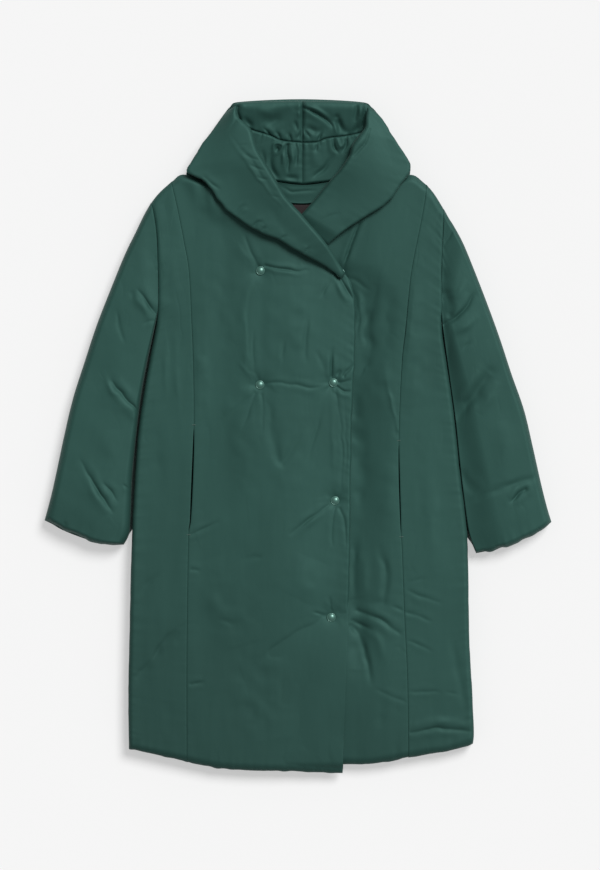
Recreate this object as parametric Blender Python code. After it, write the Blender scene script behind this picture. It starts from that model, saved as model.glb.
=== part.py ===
"""Long padded coat with a hood, closed with domed snaps and laid out flat on its back.

X runs across the coat (the wearer's left is +X), Y from the hem to the hood, and Z up from the surface
that the coat lies on. Lengths in the tables are millimetres; MM turns them into metres.
"Right" and "left" in names are the wearer's: the right front laps over the left one.
"""

import math

import bmesh
import bpy
import numpy as np
from mathutils import Vector
from mathutils.bvhtree import BVHTree

MM = 0.001

# Padding, millimetres
BACK_THICKNESS = 16.0
FRONT_THICKNESS = 21.0
UNDERLAP_THICKNESS = 10.0
INNER_HOOD_THICKNESS = 15.0
WING_THICKNESS = 20.0
FACING_THICKNESS = 9.0
LINING_THICKNESS = 2.5

# Gaps between the pieces, millimetres
SEAM_GAP = 0.3
SLEEVE_SEAM_GAP = 0.8
LAY_GAP = 0.5

# How padding rounds off towards an edge: thickness at the edge and width of the round, millimetres
PANEL_SEAM = (15, 22)
SIDE_SEAM = (6, 30)
HEM_EDGE = (9, 18)
FREE_EDGE = (11, 14)
NECK_EDGE = (10, 14)
UNDERLAP_EDGE = (8, 8)
HOOD_SEAM = (8, 16)
HIDDEN_EDGE = (3, 30)
HOOD_OPENING = (7, 18)
WING_OUTER_EDGE = (9, 20)
WING_RIM_EDGE = (10, 16)
WING_END = (9, 16)
FACING_EDGE = (4, 10)
LINING_EDGE = (2, 3)

# How far the underside rises towards an edge: height and width of the rise, millimetres
SIDE_LIFT = (9, 16)
HEM_LIFT = (6, 12)
HOOD_LIFT = (9, 14)

# The underlap ends between these distances past the front edge that lies on it, millimetres
LAP_END = (4, 24)
LAP_COLUMN = 0.66

# How many rounds of smoothing a panel's padding gets where it bridges what lies beneath
LAP_BRIDGE = 3
WING_BRIDGE = 10

# The turned hood sides: share of their thickness at the top, where that ends, and where the thin tip starts
WING_TOP_SHARE = 0.55
WING_TOP_END = 0.22
WING_TIP_ENDS = (0.62, 0.98)
WING_LEFT_TIP = 11.0
WING_RIGHT_TIP = 15.0

# Sleeves, millimetres
SLEEVE_HALF_HEIGHT = 21.0
SLEEVE_SEAM_HALF_HEIGHT = 17.0
CUFF_HALF_HEIGHT = 15.0
SLEEVE_CROWN = 5.0
SLEEVE_WALL = 17.0
SLEEVE_SLOT = 3.0

# Snap caps and pockets, millimetres
CAP_DIAMETER = 16.0
CAP_HEIGHT = 3.4
CAP_SIDES = 14
DIMPLE_WIDTH = 20.0
DIMPLE_DEPTH = 6.0
SLIT_HALF_WIDTH = 1.8
POCKET_TOP = 26.0

# Section of a snap cap: share of its height, share of its radius
CAP_SECTION = ((0.0, 1.0), (0.35, 1.0), (0.82, 0.6))

# Outline and seams, (x, y) in millimetres, each from the hem up or from the wearer's right to left
SIDE_RIGHT = (
    (-313, -580), (-314, -488), (-312, -377), (-308, -207), (-304, -118), (-297, -7), (-286, 76), (-273, 150),
    (-259, 224), (-257, 271), (-258, 322), (-260, 372), (-265, 410), (-271, 433),
)
PRINCESS_RIGHT = (
    (-205, -604), (-205, -395), (-202, -192), (-198, -146), (-192, 15), (-193, 134), (-196, 210), (-201, 304),
    (-210, 358), (-222, 419), (-234, 471),
)
EDGE_RIGHT = (
    (84, -625), (87, -525), (93, -377), (97, -229), (99, -81), (102, 49), (107, 160), (107, 243), (100, 280),
    (89, 301), (76, 317),
)
SIDE_LEFT = (
    (325, -571), (326, -540), (323, -469), (318, -377), (315, -207), (311, -153), (300, -64), (291, 26),
    (282, 93), (271, 169), (267, 209), (266, 252), (266, 308), (267, 348), (269, 385), (270, 421),
)
PRINCESS_LEFT = (
    (205, -596), (203, -451), (198, -344), (193, -212), (190, -155), (187, -7), (193, 134), (200, 197),
    (208, 285), (215, 330), (226, 385), (234, 428), (239, 465),
)
EDGE_LEFT = ((-96, -606), (-98, -488), (-99, -229), (-99, 30), (-96, 178), (-85, 263))
SHOULDER_RIGHT = ((-271, 433), (-255, 452), (-234, 471))
SHOULDER_LEFT = ((239, 465), (253, 448), (270, 421))
NECK_RIGHT = ((-234, 471), (-207, 484), (-135, 456), (-66, 420), (4, 374), (76, 317))
NECK_LEFT = ((-85, 263), (4, 360), (69, 405), (115, 435), (161, 461), (208, 484), (239, 465))
NECK_BACK = ((-207, 484), (-107, 470), (0, 464), (106, 470), (208, 484))
HEM_SIDE_RIGHT = ((-313, -580), (-255, -593), (-205, -604))
HEM_FRONT_RIGHT = ((-205, -604), (-144, -616), (-70, -620), (4, -622), (84, -625))
HEM_FRONT_LEFT = ((-96, -606), (4, -608), (87, -608), (134, -608), (166, -603), (205, -596))
HEM_SIDE_LEFT = ((205, -596), (242, -589), (272, -586), (293, -580), (325, -571))
HEM_BACK = (
    (-313, -580), (-255, -591), (-205, -601), (-144, -610), (-70, -614), (4, -614), (87, -604), (165, -599),
    (205, -593), (241, -585), (293, -577), (325, -571),
)
SLEEVE_RIGHT_OUTER = (
    (-271, 433), (-283, 413), (-290, 399), (-301, 376), (-320, 337), (-347, 271), (-373, 204), (-395, 137),
    (-416, 71), (-432, 4), (-446, -62), (-456, -107), (-468, -153),
)
SLEEVE_RIGHT_INNER = (
    (-261, 222), (-277, 145), (-290, 76), (-300, -7), (-307, -81), (-309, -136), (-312, -179), (-323, -203),
)
CUFF_RIGHT = ((-468, -153), (-437, -173), (-388, -192), (-357, -200), (-323, -203))
SLEEVE_LEFT_OUTER = (
    (270, 421), (280, 404), (290, 388), (306, 358), (324, 315), (350, 248), (374, 182), (396, 115), (419, 49),
    (435, -18), (450, -85), (461, -129), (470, -159),
)
SLEEVE_LEFT_INNER = (
    (269, 207), (275, 169), (286, 93), (295, 26), (304, -64), (315, -153), (321, -188), (330, -216),
)
CUFF_LEFT = ((470, -159), (450, -175), (402, -197), (363, -210), (330, -216))
HOOD_SIDE_RIGHT = ((-207, 484), (-205, 493), (-194, 515), (-164, 559), (-135, 600))
HOOD_SIDE_LEFT = ((208, 484), (209, 498), (206, 511), (189, 537), (167, 570), (150, 596))
HOOD_TOP = ((-135, 600), (-125, 611), (-107, 620), (4, 625), (115, 620), (137, 610), (150, 596))
HOOD_CENTRE = 9
CROWN_TOP = ((-127, 606), (-107, 617), (9, 621), (115, 617), (141, 606))
GATHER = (
    (-140, 582), (-107, 577), (-83, 566), (-53, 557), (-29, 547), (9, 543), (36, 544), (54, 551), (97, 557),
    (137, 568), (154, 576),
)
NAPE_BOTTOM = ((-166, 500), (-66, 476), (9, 466), (87, 476), (172, 500))
NAPE_SIDE_RIGHT = ((-166, 500), (-162, 540), (-140, 582))
NAPE_SIDE_LEFT = ((172, 500), (172, 540), (154, 576))
FACING_TOP = ((-66, 475), (9, 465), (80, 474))
FACING_BOTTOM = ((-60, 440), (9, 431), (64, 441))
LINING_TOP = ((-40, 430), (10, 429), (54, 430))
LINING_BOTTOM = ((-22, 409), (10, 390), (36, 411))
WING_RIGHT_OUTER = (
    (-135, 600), (-164, 559), (-194, 515), (-207, 491), (-190, 478), (-170, 466), (-133, 418), (-83, 382),
    (-37, 362), (-5, 343), (37, 323), (79, 303),
)
WING_RIGHT_RIM = (
    (-114, 611), (-111, 592), (-96, 578), (-85, 565), (-75, 533), (-57, 502), (-38, 471), (-20, 441),
    (10, 407), (52, 358), (82, 309),
)
WING_LEFT_OUTER = (
    (150, 596), (167, 570), (189, 537), (206, 511), (209, 495), (206, 483), (189, 461), (165, 430),
    (111, 395), (86, 377), (54, 352),
)
WING_LEFT_RIM = (
    (130, 609), (126, 592), (124, 572), (111, 554), (99, 537), (93, 517), (78, 494), (60, 474), (41, 450),
    (12, 417), (-8, 399),
)

# Pocket slits in the princess seams: y of the lower and the upper end
SLIT_RIGHT = (-175, 13)
SLIT_LEFT = (-179, -16)

# Snap caps: name, x, y
SNAPS = (
    ("snap_1", -69, 306),
    ("snap_2", -70, 95),
    ("snap_3", 66, 99),
    ("snap_4", 69, -119),
    ("snap_5", 62, -335),
    ("snap_6", 79, 302),
)

# Largest folds: x and y of both ends, half width, height (below zero for a trough)
FRONT_FOLDS = (
    (-84, 300, -92, 110, 17, 1.5),
    (-62, 92, 60, 92, 9, -3.5),
    (-20, 270, -10, 120, 60, 2.0),
    (62, 130, 64, 240, 11, -3.0),
    (60, -345, -60, -430, 12, -4.5),
    (40, -360, 14, -430, 14, -3.0),
    (100, -345, 150, -430, 13, -3.5),
    (150, 280, 128, 150, 13, 2.5),
    (146, 150, 140, 40, 17, -3.0),
    (118, 30, 124, -150, 16, -3.5),
    (170, 290, 172, 20, 16, 2.0),
    (148, -210, 160, -300, 13, -3.5),
    (118, -330, 226, -388, 11, -4.0),
    (206, -546, 325, -545, 10, -5.5),
    (-205, 380, -214, 40, 13, 2.5),
    (-240, 330, -242, 60, 18, 3.0),
)
SLEEVE_FOLDS = (
    (-290, 275, -262, 225, 10, -4.5),
    (-334, 222, -316, 186, 12, -3.0),
    (-356, 115, -300, 50, 13, -5.5),
    (-350, 118, -328, 60, 12, 3.5),
    (-400, -40, -350, -135, 13, -5.5),
    (-360, -85, -328, -112, 11, -3.5),
    (334, 258, 272, 210, 12, -5.5),
    (364, 120, 292, 40, 18, -5.5),
    (420, -100, 330, -122, 14, -4.0),
    (380, -130, 340, -140, 12, 2.5),
)
HOOD_FOLDS = (
    (-135, 585, -124, 538, 9, -6.0),
    (-124, 538, -66, 470, 10, -7.0),
    (-66, 470, -10, 400, 13, -5.0),
    (-10, 400, 70, 318, 11, -3.0),
    (-18, 603, -12, 566, 8, -5.0),
    (76, 596, 92, 562, 9, -5.0),
    (-18, 535, -16, 510, 7, -4.0),
    (70, 550, 58, 506, 9, -5.0),
    (120, 560, 190, 490, 24, 3.0),
)

# How far along each grid the lines lie, as shares of its sides: closer together where an edge rounds off
ROWS = (
    0, 0.006, 0.018, 0.045, 0.09, 0.14, 0.19, 0.24, 0.29, 0.34, 0.39, 0.40, 0.41, 0.45, 0.49, 0.53,
    0.543, 0.56, 0.571, 0.59, 0.64, 0.69, 0.74, 0.79, 0.815, 0.845, 0.89, 0.935, 0.965, 0.985, 1,
)
SHOULDER_ROWS = (0.4, 0.75, 1)
SHOULDER_SHARE = 0.05
BACK_COLUMNS = (0, 0.012, 0.035, 0.09, 0.18, 0.28, 0.39, 0.5, 0.61, 0.72, 0.82, 0.91, 0.965, 0.988, 1)
FRONT_RIGHT_COLUMNS = (0, 0.03, 0.08, 0.16, 0.24, 0.32, 0.43, 0.54, 0.65, 0.76, 0.885, 0.955, 0.985, 1)
FRONT_LEFT_COLUMNS = (0, 0.02, 0.12, 0.28, 0.44, 0.66, 0.70, 0.76, 0.84, 0.91, 0.97, 1)
SIDE_COLUMNS = (0, 0.035, 0.11, 0.24, 0.42, 0.6, 0.78, 0.92, 1)
WING_COLUMNS = (0, 0.04, 0.12, 0.24, 0.38, 0.52, 0.65, 0.78, 0.89, 0.965, 1)
WING_ROWS = (
    0, 0.03, 0.07, 0.12, 0.17, 0.22, 0.27, 0.32, 0.37, 0.42, 0.47, 0.52, 0.57, 0.62, 0.67, 0.72, 0.77, 0.82,
    0.87, 0.92, 0.965, 1,
)
CROWN_COLUMNS = (0, 0.1, 0.22, 0.34, 0.46, 0.58, 0.7, 0.82, 0.93, 1)
CROWN_ROWS = (0, 0.14, 0.36, 0.64, 0.86, 1)
NAPE_ROWS = (0, 0.1, 0.25, 0.42, 0.58, 0.75, 0.9, 1)
SMALL_COLUMNS = (0, 0.08, 0.2, 0.35, 0.5, 0.65, 0.8, 0.92, 1)
SMALL_ROWS = (0, 0.2, 0.5, 0.8, 1)
SLEEVE_ROWS = (0, 0.04, 0.1, 0.17, 0.25, 0.33, 0.41, 0.49, 0.57, 0.65, 0.73, 0.81, 0.88, 0.94, 0.98, 1)
SECTION_SHARES = (0.16, 0.34, 0.5, 0.66, 0.84)

# Finishes: name, colour, roughness, metallic
SHELL = ("shell", (0.030, 0.084, 0.066), 0.5, 0.0)
LINING = ("lining", (0.030, 0.020, 0.019), 0.6, 0.0)
CAP = ("cap", (0.035, 0.10, 0.075), 0.25, 0.6)


def clear_scene():
    """Removes whatever the scene holds."""
    for thing in list(bpy.data.objects):
        bpy.data.objects.remove(thing, do_unlink=True)


def material(finish):
    """The material of this finish, made on its first use."""
    name, colour, roughness, metallic = finish
    made = bpy.data.materials.get(name)
    if made is None:
        made = bpy.data.materials.new(name)
        made.use_nodes = True
        shader = made.node_tree.nodes["Principled BSDF"]
        shader.inputs["Base Color"].default_value = (*colour, 1)
        shader.inputs["Roughness"].default_value = roughness
        shader.inputs["Metallic"].default_value = metallic
        made.diffuse_color = (*colour, 1)
    return made


def smooth_step(value, low, high):
    """A share that eases from 0 at low to 1 at high."""
    share = np.clip((np.asarray(value, float) - low) / (high - low), 0, 1)
    return share * share * (3 - 2 * share)


def along(table, shares):
    """Points at these shares of the length of a smooth curve through the table's points."""
    points = np.array(table, float)
    if len(points) > 2:
        ends = np.vstack([2 * points[0] - points[1], points, 2 * points[-1] - points[-2]])
        steps = np.linspace(0, 1, 12, endpoint=False)[:, None]
        runs = []
        for a, b, c, d in zip(ends, ends[1:], ends[2:], ends[3:]):
            runs.append(0.5 * (2 * b + (c - a) * steps + (2 * a - 5 * b + 4 * c - d) * steps**2
                               + (3 * b - a - 3 * c + d) * steps**3))
        points = np.vstack(runs + [points[-1:]])
    lengths = np.append(0, np.cumsum(np.linalg.norm(np.diff(points, axis=0), axis=1)))
    wanted = np.asarray(shares) * lengths[-1]
    return np.stack([np.interp(wanted, lengths, points[:, axis]) for axis in (0, 1)], axis=1)


def patch(low, high, left, right, columns, rows):
    """Grid [column, row] of plan points that fills the space between four curves.

    The left and right ones may also be the points themselves, one for each row.
    """
    s = np.array(columns, float)[:, None, None]
    t = np.array(rows, float)[None, :, None]
    low = along(low, columns)[:, None]
    high = along(high, columns)[:, None]
    left = (left if isinstance(left, np.ndarray) else along(left, rows))[None]
    right = (right if isinstance(right, np.ndarray) else along(right, rows))[None]
    across = (1 - s) * left + s * right
    up = (1 - t) * low + t * high
    low_corners = (1 - s) * low[:1] + s * low[-1:]
    high_corners = (1 - s) * high[:1] + s * high[-1:]
    return across + up - (1 - t) * low_corners - t * high_corners


def inset(grid, left=SEAM_GAP / 2, right=SEAM_GAP / 2, low=SEAM_GAP / 2, high=SEAM_GAP / 2):
    """The grid with its outer lines moved inwards. A side's amount is a number, or one for each point."""
    moved = grid.copy()
    for line, inner, amount in (
        (np.s_[0, :], np.s_[1, :], left),
        (np.s_[-1, :], np.s_[-2, :], right),
        (np.s_[:, 0], np.s_[:, 1], low),
        (np.s_[:, -1], np.s_[:, -2], high),
    ):
        tangent = np.gradient(grid[line], axis=0)
        normal = np.stack([-tangent[:, 1], tangent[:, 0]], axis=1)
        normal /= np.linalg.norm(normal, axis=1)[:, None]
        normal *= np.sign(np.sum(normal * (grid[inner] - grid[line]), axis=1))[:, None]
        moved[line] += normal * np.reshape(amount, (-1, 1))
    return moved


def follow(grid, columns, column, guide):
    """The grid with one of its columns moved sideways onto a guide curve, and the others shared out."""
    line = along(guide, np.linspace(0, 1, 80))
    order = np.argsort(line[:, 1])
    place = columns[column]
    shift = np.interp(grid[column, :, 1], line[order, 1], line[order, 0]) - grid[column, :, 0]
    shares = np.array([s / place if s <= place else (1 - s) / (1 - place) for s in columns])
    moved = grid.copy()
    moved[:, :, 0] += shares[:, None] * shift[None]
    return moved


def distance(points, line):
    """Distance in plan from each point to a polyline."""
    best = np.full(points.shape[:-1], np.inf)
    for a, b in zip(line, line[1:]):
        ab = b - a
        share = np.clip(((points - a) @ ab) / max(ab @ ab, 1e-12), 0, 1)
        best = np.minimum(best, np.linalg.norm(points - (a + share[..., None] * ab), axis=-1))
    return best


def sides_of(grid):
    """The four outer lines of a grid."""
    return {"left": grid[0], "right": grid[-1], "low": grid[:, 0], "high": grid[:, -1]}


def rounded(grid, edges, full):
    """Thickness over a grid: `full` inside, and each side's edge thickness reached in a quarter round.

    edges gives (edge thickness, width of the round) for each side.
    """
    share = np.ones(grid.shape[:2])
    for side, (edge, width) in edges.items():
        out = 1 - np.clip(distance(grid, sides_of(grid)[side]) / width, 0, 1)
        rise = np.sqrt(1 - out**2)
        share = np.minimum(share, edge / full + (1 - edge / full) * rise)
    return full * share


def lifted(grid, edges):
    """How far the underside rises towards its outer edges: (height, width) for each side."""
    height = np.zeros(grid.shape[:2])
    for side, (top, width) in edges.items():
        out = 1 - np.clip(distance(grid, sides_of(grid)[side]) / width, 0, 1)
        height = np.maximum(height, top * (1 - np.sqrt(1 - out**2)))
    return height


def folds(points, table):
    """Height that the folds of a table add at each plan point."""
    height = np.zeros(points.shape[:-1])
    for x0, y0, x1, y1, width, rise in table:
        line = np.array([(x0, y0), (x1, y1)], float)
        height += rise * np.exp(-(distance(points, line) / width) ** 2)
    return height


def dimples(points):
    """Height that the snaps' dimples take away at each plan point."""
    height = np.zeros(points.shape[:-1])
    for _, x, y in SNAPS:
        height -= DIMPLE_DEPTH * np.exp(-np.sum((points - (x, y)) ** 2, axis=-1) / DIMPLE_WIDTH**2)
    return height


def new_object(name, finish, points, faces):
    """One closed solid from points in millimetres, with its faces turned out."""
    mesh = bmesh.new()
    corners = [mesh.verts.new(Vector(point) * MM) for point in points]
    for face in faces:
        mesh.faces.new([corners[i] for i in face])
    bmesh.ops.recalc_face_normals(mesh, faces=mesh.faces)
    data = bpy.data.meshes.new(name)
    mesh.to_mesh(data)
    mesh.free()
    data.materials.append(material(finish))
    data.shade_smooth()
    data.set_sharp_from_angle(angle=math.radians(50))
    made = bpy.data.objects.new(name, data)
    bpy.context.scene.collection.objects.link(made)
    return made


def tree_of(names):
    """One search tree of these solids, in millimetres."""
    points, faces = [], []
    for name in names:
        data = bpy.data.objects[name].data
        start = len(points)
        data.calc_loop_triangles()
        points += [vertex.co / MM for vertex in data.vertices]
        faces += [[start + i for i in triangle.vertices] for triangle in data.loop_triangles]
    return BVHTree.FromPolygons(points, faces)


def height_under(tree, x, y):
    """Height of the highest surface beneath a plan point, or 0 where there is none."""
    hit = tree.ray_cast((x, y, 500), (0, 0, -1))
    return hit[0].z if hit[0] is not None else 0.0


def settle(grid, height, tree, gap=LAY_GAP, samples=5):
    """Raises a grid of heights until every triangle of it lies clear of the solids beneath."""
    height = height.copy()
    weights = [(a / samples, b / samples, (samples - a - b) / samples)
               for a in range(samples + 1) for b in range(samples + 1 - a)]
    triangles = []
    for i in range(grid.shape[0] - 1):
        for j in range(grid.shape[1] - 1):
            triangles += [((i, j), (i + 1, j), (i + 1, j + 1)), ((i, j), (i + 1, j + 1), (i, j + 1)),
                          ((i, j), (i + 1, j), (i, j + 1)), ((i + 1, j), (i + 1, j + 1), (i, j + 1))]
    under = {}
    for triangle in triangles:
        corners = np.array([grid[corner] for corner in triangle])
        under[triangle] = [height_under(tree, *(np.array(w) @ corners)) + gap for w in weights]
    for _ in range(12):
        rise = np.zeros_like(height)
        for triangle in triangles:
            corners = np.array([height[corner] for corner in triangle])
            for w, floor in zip(weights, under[triangle]):
                short = floor - float(np.dot(w, corners))
                if short > 1e-3:
                    for corner, share in zip(triangle, w):
                        rise[corner] = max(rise[corner], short * share / sum(v * v for v in w))
        if not rise.any():
            break
        height += rise
    return height


def relax(height, passes):
    """Fills the hollows of a grid of heights, as padding bridges what it lies on. Nothing is lowered."""
    for _ in range(passes):
        wide = np.pad(height, 1, mode="edge")
        mean = (wide[:-2, 1:-1] + wide[2:, 1:-1] + wide[1:-1, :-2] + wide[1:-1, 2:]) / 4
        height = np.maximum(height, mean)
    return height


def ring(columns, rows, k):
    """The places of a grid's k-th ring, counted from its outer lines inwards."""
    last_column, last_row = columns - 1 - k, rows - 1 - k
    return ([(i, k) for i in range(k, last_column)]
            + [(last_column, j) for j in range(k, last_row)]
            + [(i, last_row) for i in range(last_column, k, -1)]
            + [(k, j) for j in range(last_row, k, -1)])


def pad(name, finish, grid, bottom, top, flat_ring=None):
    """A closed pad on a grid. Inside ring `flat_ring`, a level underside is one flat face."""
    columns, rows = grid.shape[:2]
    top = np.broadcast_to(top, (columns, rows))
    bottom = np.broadcast_to(bottom, (columns, rows))
    cells = [(i, j) for i in range(columns - 1) for j in range(rows - 1)]
    points = []
    above = {}
    below = {}
    for i in range(columns):
        for j in range(rows):
            above[i, j] = len(points)
            points.append((*grid[i, j], top[i, j]))
    for i in range(columns):
        for j in range(rows):
            depth = min(i, j, columns - 1 - i, rows - 1 - j)
            if flat_ring is None or depth <= flat_ring:
                below[i, j] = len(points)
                points.append((*grid[i, j], bottom[i, j]))

    faces = [(above[i, j], above[i + 1, j], above[i + 1, j + 1], above[i, j + 1]) for i, j in cells]
    for i, j in cells:
        depth = min(i, j, columns - 2 - i, rows - 2 - j)
        if flat_ring is None or depth < flat_ring:
            faces.append((below[i, j], below[i, j + 1], below[i + 1, j + 1], below[i + 1, j]))
    if flat_ring is not None:
        faces.append(tuple(below[place] for place in reversed(ring(columns, rows, flat_ring))))
    outer = ring(columns, rows, 0)
    for a, b in zip(outer, outer[1:] + outer[:1]):
        faces.append((above[a], above[b], below[b], below[a]))
    return new_object(name, finish, points, faces)


def slit_gap(line, slit):
    """Half the opening of a pocket slit at each point of a seam, added to the half seam gap."""
    low, high = slit
    share = np.clip((line[:, 1] - low) / (high - low), 0, 1)
    return SEAM_GAP / 2 + SLIT_HALF_WIDTH * np.sin(math.pi * share) ** 0.5


def back():
    """The back panel, whose underside is the coat's flat rest."""
    right_shoulder = SHOULDER_RIGHT + NECK_BACK[:1]
    left_shoulder = SHOULDER_LEFT[::-1] + NECK_BACK[-1:]
    left = np.vstack([along(SIDE_RIGHT, ROWS), along(right_shoulder, SHOULDER_ROWS)])
    right = np.vstack([along(SIDE_LEFT, ROWS), along(left_shoulder, SHOULDER_ROWS)])
    rows = [row * (1 - SHOULDER_SHARE) for row in ROWS]
    rows += [1 - SHOULDER_SHARE * (1 - row) for row in SHOULDER_ROWS]
    grid = inset(patch(HEM_BACK, NECK_BACK, left, right, BACK_COLUMNS, rows))
    lift = lifted(grid, {"left": SIDE_LIFT, "right": SIDE_LIFT, "low": HEM_LIFT})
    pad("back", SHELL, grid, lift, BACK_THICKNESS, flat_ring=2)


def front_top(grid, edges):
    """Thickness of a front panel over its grid, with its folds and the snaps' dimples."""
    thick = rounded(grid, edges, FRONT_THICKNESS)
    return thick + folds(grid, FRONT_FOLDS) * thick / FRONT_THICKNESS + dimples(grid)


def fronts():
    """The four front panels, which lie on the back one."""
    rest = BACK_THICKNESS + SEAM_GAP

    # The wearer's left side and front, the front thinner where the other one laps over it
    grid = patch(HEM_SIDE_LEFT, SHOULDER_LEFT, PRINCESS_LEFT, SIDE_LEFT, SIDE_COLUMNS, ROWS)
    grid = inset(grid, left=slit_gap(grid[0], SLIT_LEFT))
    edges = {"left": PANEL_SEAM, "right": SIDE_SEAM, "low": HEM_EDGE, "high": SIDE_SEAM}
    pad("left_side_front", SHELL, grid, rest, rest + front_top(grid, edges), flat_ring=1)

    grid = patch(HEM_FRONT_LEFT, NECK_LEFT, EDGE_LEFT, PRINCESS_LEFT, FRONT_LEFT_COLUMNS, ROWS)
    grid = follow(grid, FRONT_LEFT_COLUMNS, FRONT_LEFT_COLUMNS.index(LAP_COLUMN), EDGE_RIGHT)
    grid = inset(grid, right=slit_gap(grid[-1], SLIT_LEFT))
    lapped = 1 - smooth_step(grid[..., 0] - edge_right_x(grid[..., 1]), *LAP_END)
    edges = {"left": UNDERLAP_EDGE, "right": PANEL_SEAM, "low": HEM_EDGE, "high": NECK_EDGE}
    full = front_top(grid, edges)
    edges = {"left": UNDERLAP_EDGE, "right": PANEL_SEAM, "low": UNDERLAP_EDGE, "high": UNDERLAP_EDGE}
    thin = rounded(grid, edges, UNDERLAP_THICKNESS)
    pad("left_front", SHELL, grid, rest, rest + lapped * thin + (1 - lapped) * full, flat_ring=1)

    # The wearer's right side and front, which rises over the underlap
    grid = patch(HEM_SIDE_RIGHT, SHOULDER_RIGHT, SIDE_RIGHT, PRINCESS_RIGHT, SIDE_COLUMNS, ROWS)
    grid = inset(grid, right=slit_gap(grid[-1], SLIT_RIGHT))
    edges = {"left": SIDE_SEAM, "right": PANEL_SEAM, "low": HEM_EDGE, "high": SIDE_SEAM}
    pad("right_side_front", SHELL, grid, rest, rest + front_top(grid, edges), flat_ring=1)

    grid = patch(HEM_FRONT_RIGHT, NECK_RIGHT, PRINCESS_RIGHT, EDGE_RIGHT, FRONT_RIGHT_COLUMNS, ROWS)
    grid = inset(grid, left=slit_gap(grid[0], SLIT_RIGHT))
    bottom = settle(grid, np.full(grid.shape[:2], rest), tree_of(["left_front"]))
    edges = {"left": PANEL_SEAM, "right": FREE_EDGE, "low": HEM_EDGE, "high": NECK_EDGE}
    top = front_top(grid, edges)
    pad("right_front", SHELL, grid, bottom, relax(bottom, LAP_BRIDGE) + top)


def edge_right_x(y):
    """Where the right front's free edge is across the coat, at this y."""
    line = along(EDGE_RIGHT, np.linspace(0, 1, 80))
    order = np.argsort(line[:, 1])
    return np.interp(y, line[order, 1], line[order, 0])


def pocket(name, seam, slit):
    """The dark facing at the bottom of a pocket slit, as long and as wide as the slit."""
    line = along(seam, ROWS)
    gap = slit_gap(line, slit)
    tangent = np.gradient(line, axis=0)
    normal = np.stack([tangent[:, 1], -tangent[:, 0]], axis=1) / np.linalg.norm(tangent, axis=1)[:, None]
    open_rows = gap > SEAM_GAP
    reach = (normal * (gap - SEAM_GAP)[:, None])[open_rows]
    grid = np.stack([line[open_rows] - reach, line[open_rows] + reach])
    rest = BACK_THICKNESS + SEAM_GAP
    pad(name, SHELL, grid, rest, POCKET_TOP)


def sleeve(name, armhole, cuff, outer, inner):
    """A flattened tube, from the armhole to the cuff, with a thin slot inside."""
    starts = along(outer, SLEEVE_ROWS)
    ends = along(inner, SLEEVE_ROWS)
    skin = []
    slot = []
    for k, row in enumerate(SLEEVE_ROWS):
        width = float(np.linalg.norm(ends[k] - starts[k]))
        half = sleeve_half_height(row)
        places, heights = ring_profile(width, half)
        plan = sleeve_plan(places / width, row, armhole, cuff, starts[k], ends[k])
        creased = heights + np.where(heights > half, folds(plan, SLEEVE_FOLDS), 0)
        skin += [(x, y, z) for (x, y), z in zip(plan, creased)]
        narrowed = width / 2 + (places - width / 2) * (width - 2 * SLEEVE_WALL) / width
        flattened = half + np.clip((heights - half) / half, -1, 1) * SLEEVE_SLOT / 2
        plan = sleeve_plan(narrowed / width, row, armhole, cuff, starts[k], ends[k])
        slot += [(x, y, z) for (x, y), z in zip(plan, flattened)]

    count, levels = len(places), len(SLEEVE_ROWS)
    faces = []
    for m in range(count):
        n = (m + 1) % count
        for k in range(levels - 1):
            a, b = k * count + m, k * count + n
            faces.append((a, b, b + count, a + count))
            a, b = a + len(skin), b + len(skin)
            faces.append((a + count, b + count, b, a))
        for k in (0, levels - 1):
            a, b = k * count + m, k * count + n
            faces.append((a, b, b + len(skin), a + len(skin)))
    new_object(name, SHELL, skin + slot, faces)


def sleeve_plan(shares, row, armhole, cuff, start, end):
    """Plan points across a sleeve at one row, between its armhole and cuff curves and its two sides."""
    near = along(armhole, shares)
    far = along(cuff, shares)
    w = shares[:, None]
    near_corners = (1 - w) * np.array(armhole[0]) + w * np.array(armhole[-1])
    far_corners = (1 - w) * np.array(cuff[0]) + w * np.array(cuff[-1])
    return (1 - w) * start + w * end + (1 - row) * (near - near_corners) + row * (far - far_corners)


def sleeve_half_height(row):
    """Half the height of a sleeve at one row: less at the armhole and at the cuff."""
    rise = float(smooth_step(row, 0, 0.12)) * (SLEEVE_HALF_HEIGHT - SLEEVE_SEAM_HALF_HEIGHT)
    fall = float(smooth_step(row, 0.9, 1)) * (SLEEVE_HALF_HEIGHT - CUFF_HALF_HEIGHT)
    return SLEEVE_SEAM_HALF_HEIGHT + rise - fall


def ring_profile(width, half):
    """Places across and heights of one section: a level underside, round ends and a crowned top."""
    quarter = math.pi / 4
    turn = [half * (1 - math.cos(a)) for a in (-quarter, 0, quarter)]
    rise = [half * (1 + math.sin(a)) for a in (-quarter, 0, quarter)]
    places = [half + (width - 2 * half) * share for share in (0, *SECTION_SHARES, 1)]
    heights = [0.0] * len(places)
    places += [width - x for x in turn] + [width - half]
    heights += rise + [2 * half]
    places += [half + (width - 2 * half) * (1 - share) for share in SECTION_SHARES]
    heights += [2 * half + SLEEVE_CROWN * math.sin(math.pi * share) for share in SECTION_SHARES]
    places += [half] + turn[::-1]
    heights += [2 * half] + rise[::-1]
    return np.array(places), np.array(heights)


def armhole_of(side, underarm):
    """The part of a side seam's curve from the shoulder down to the underarm, moved clear of the body."""
    line = along(side, np.linspace(0, 1, 300))
    line = line[line[:, 1] >= underarm][::-1]
    away = math.copysign(SLEEVE_SEAM_GAP, line[0, 0])
    return tuple((x + away, y) for x, y in line)


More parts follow.
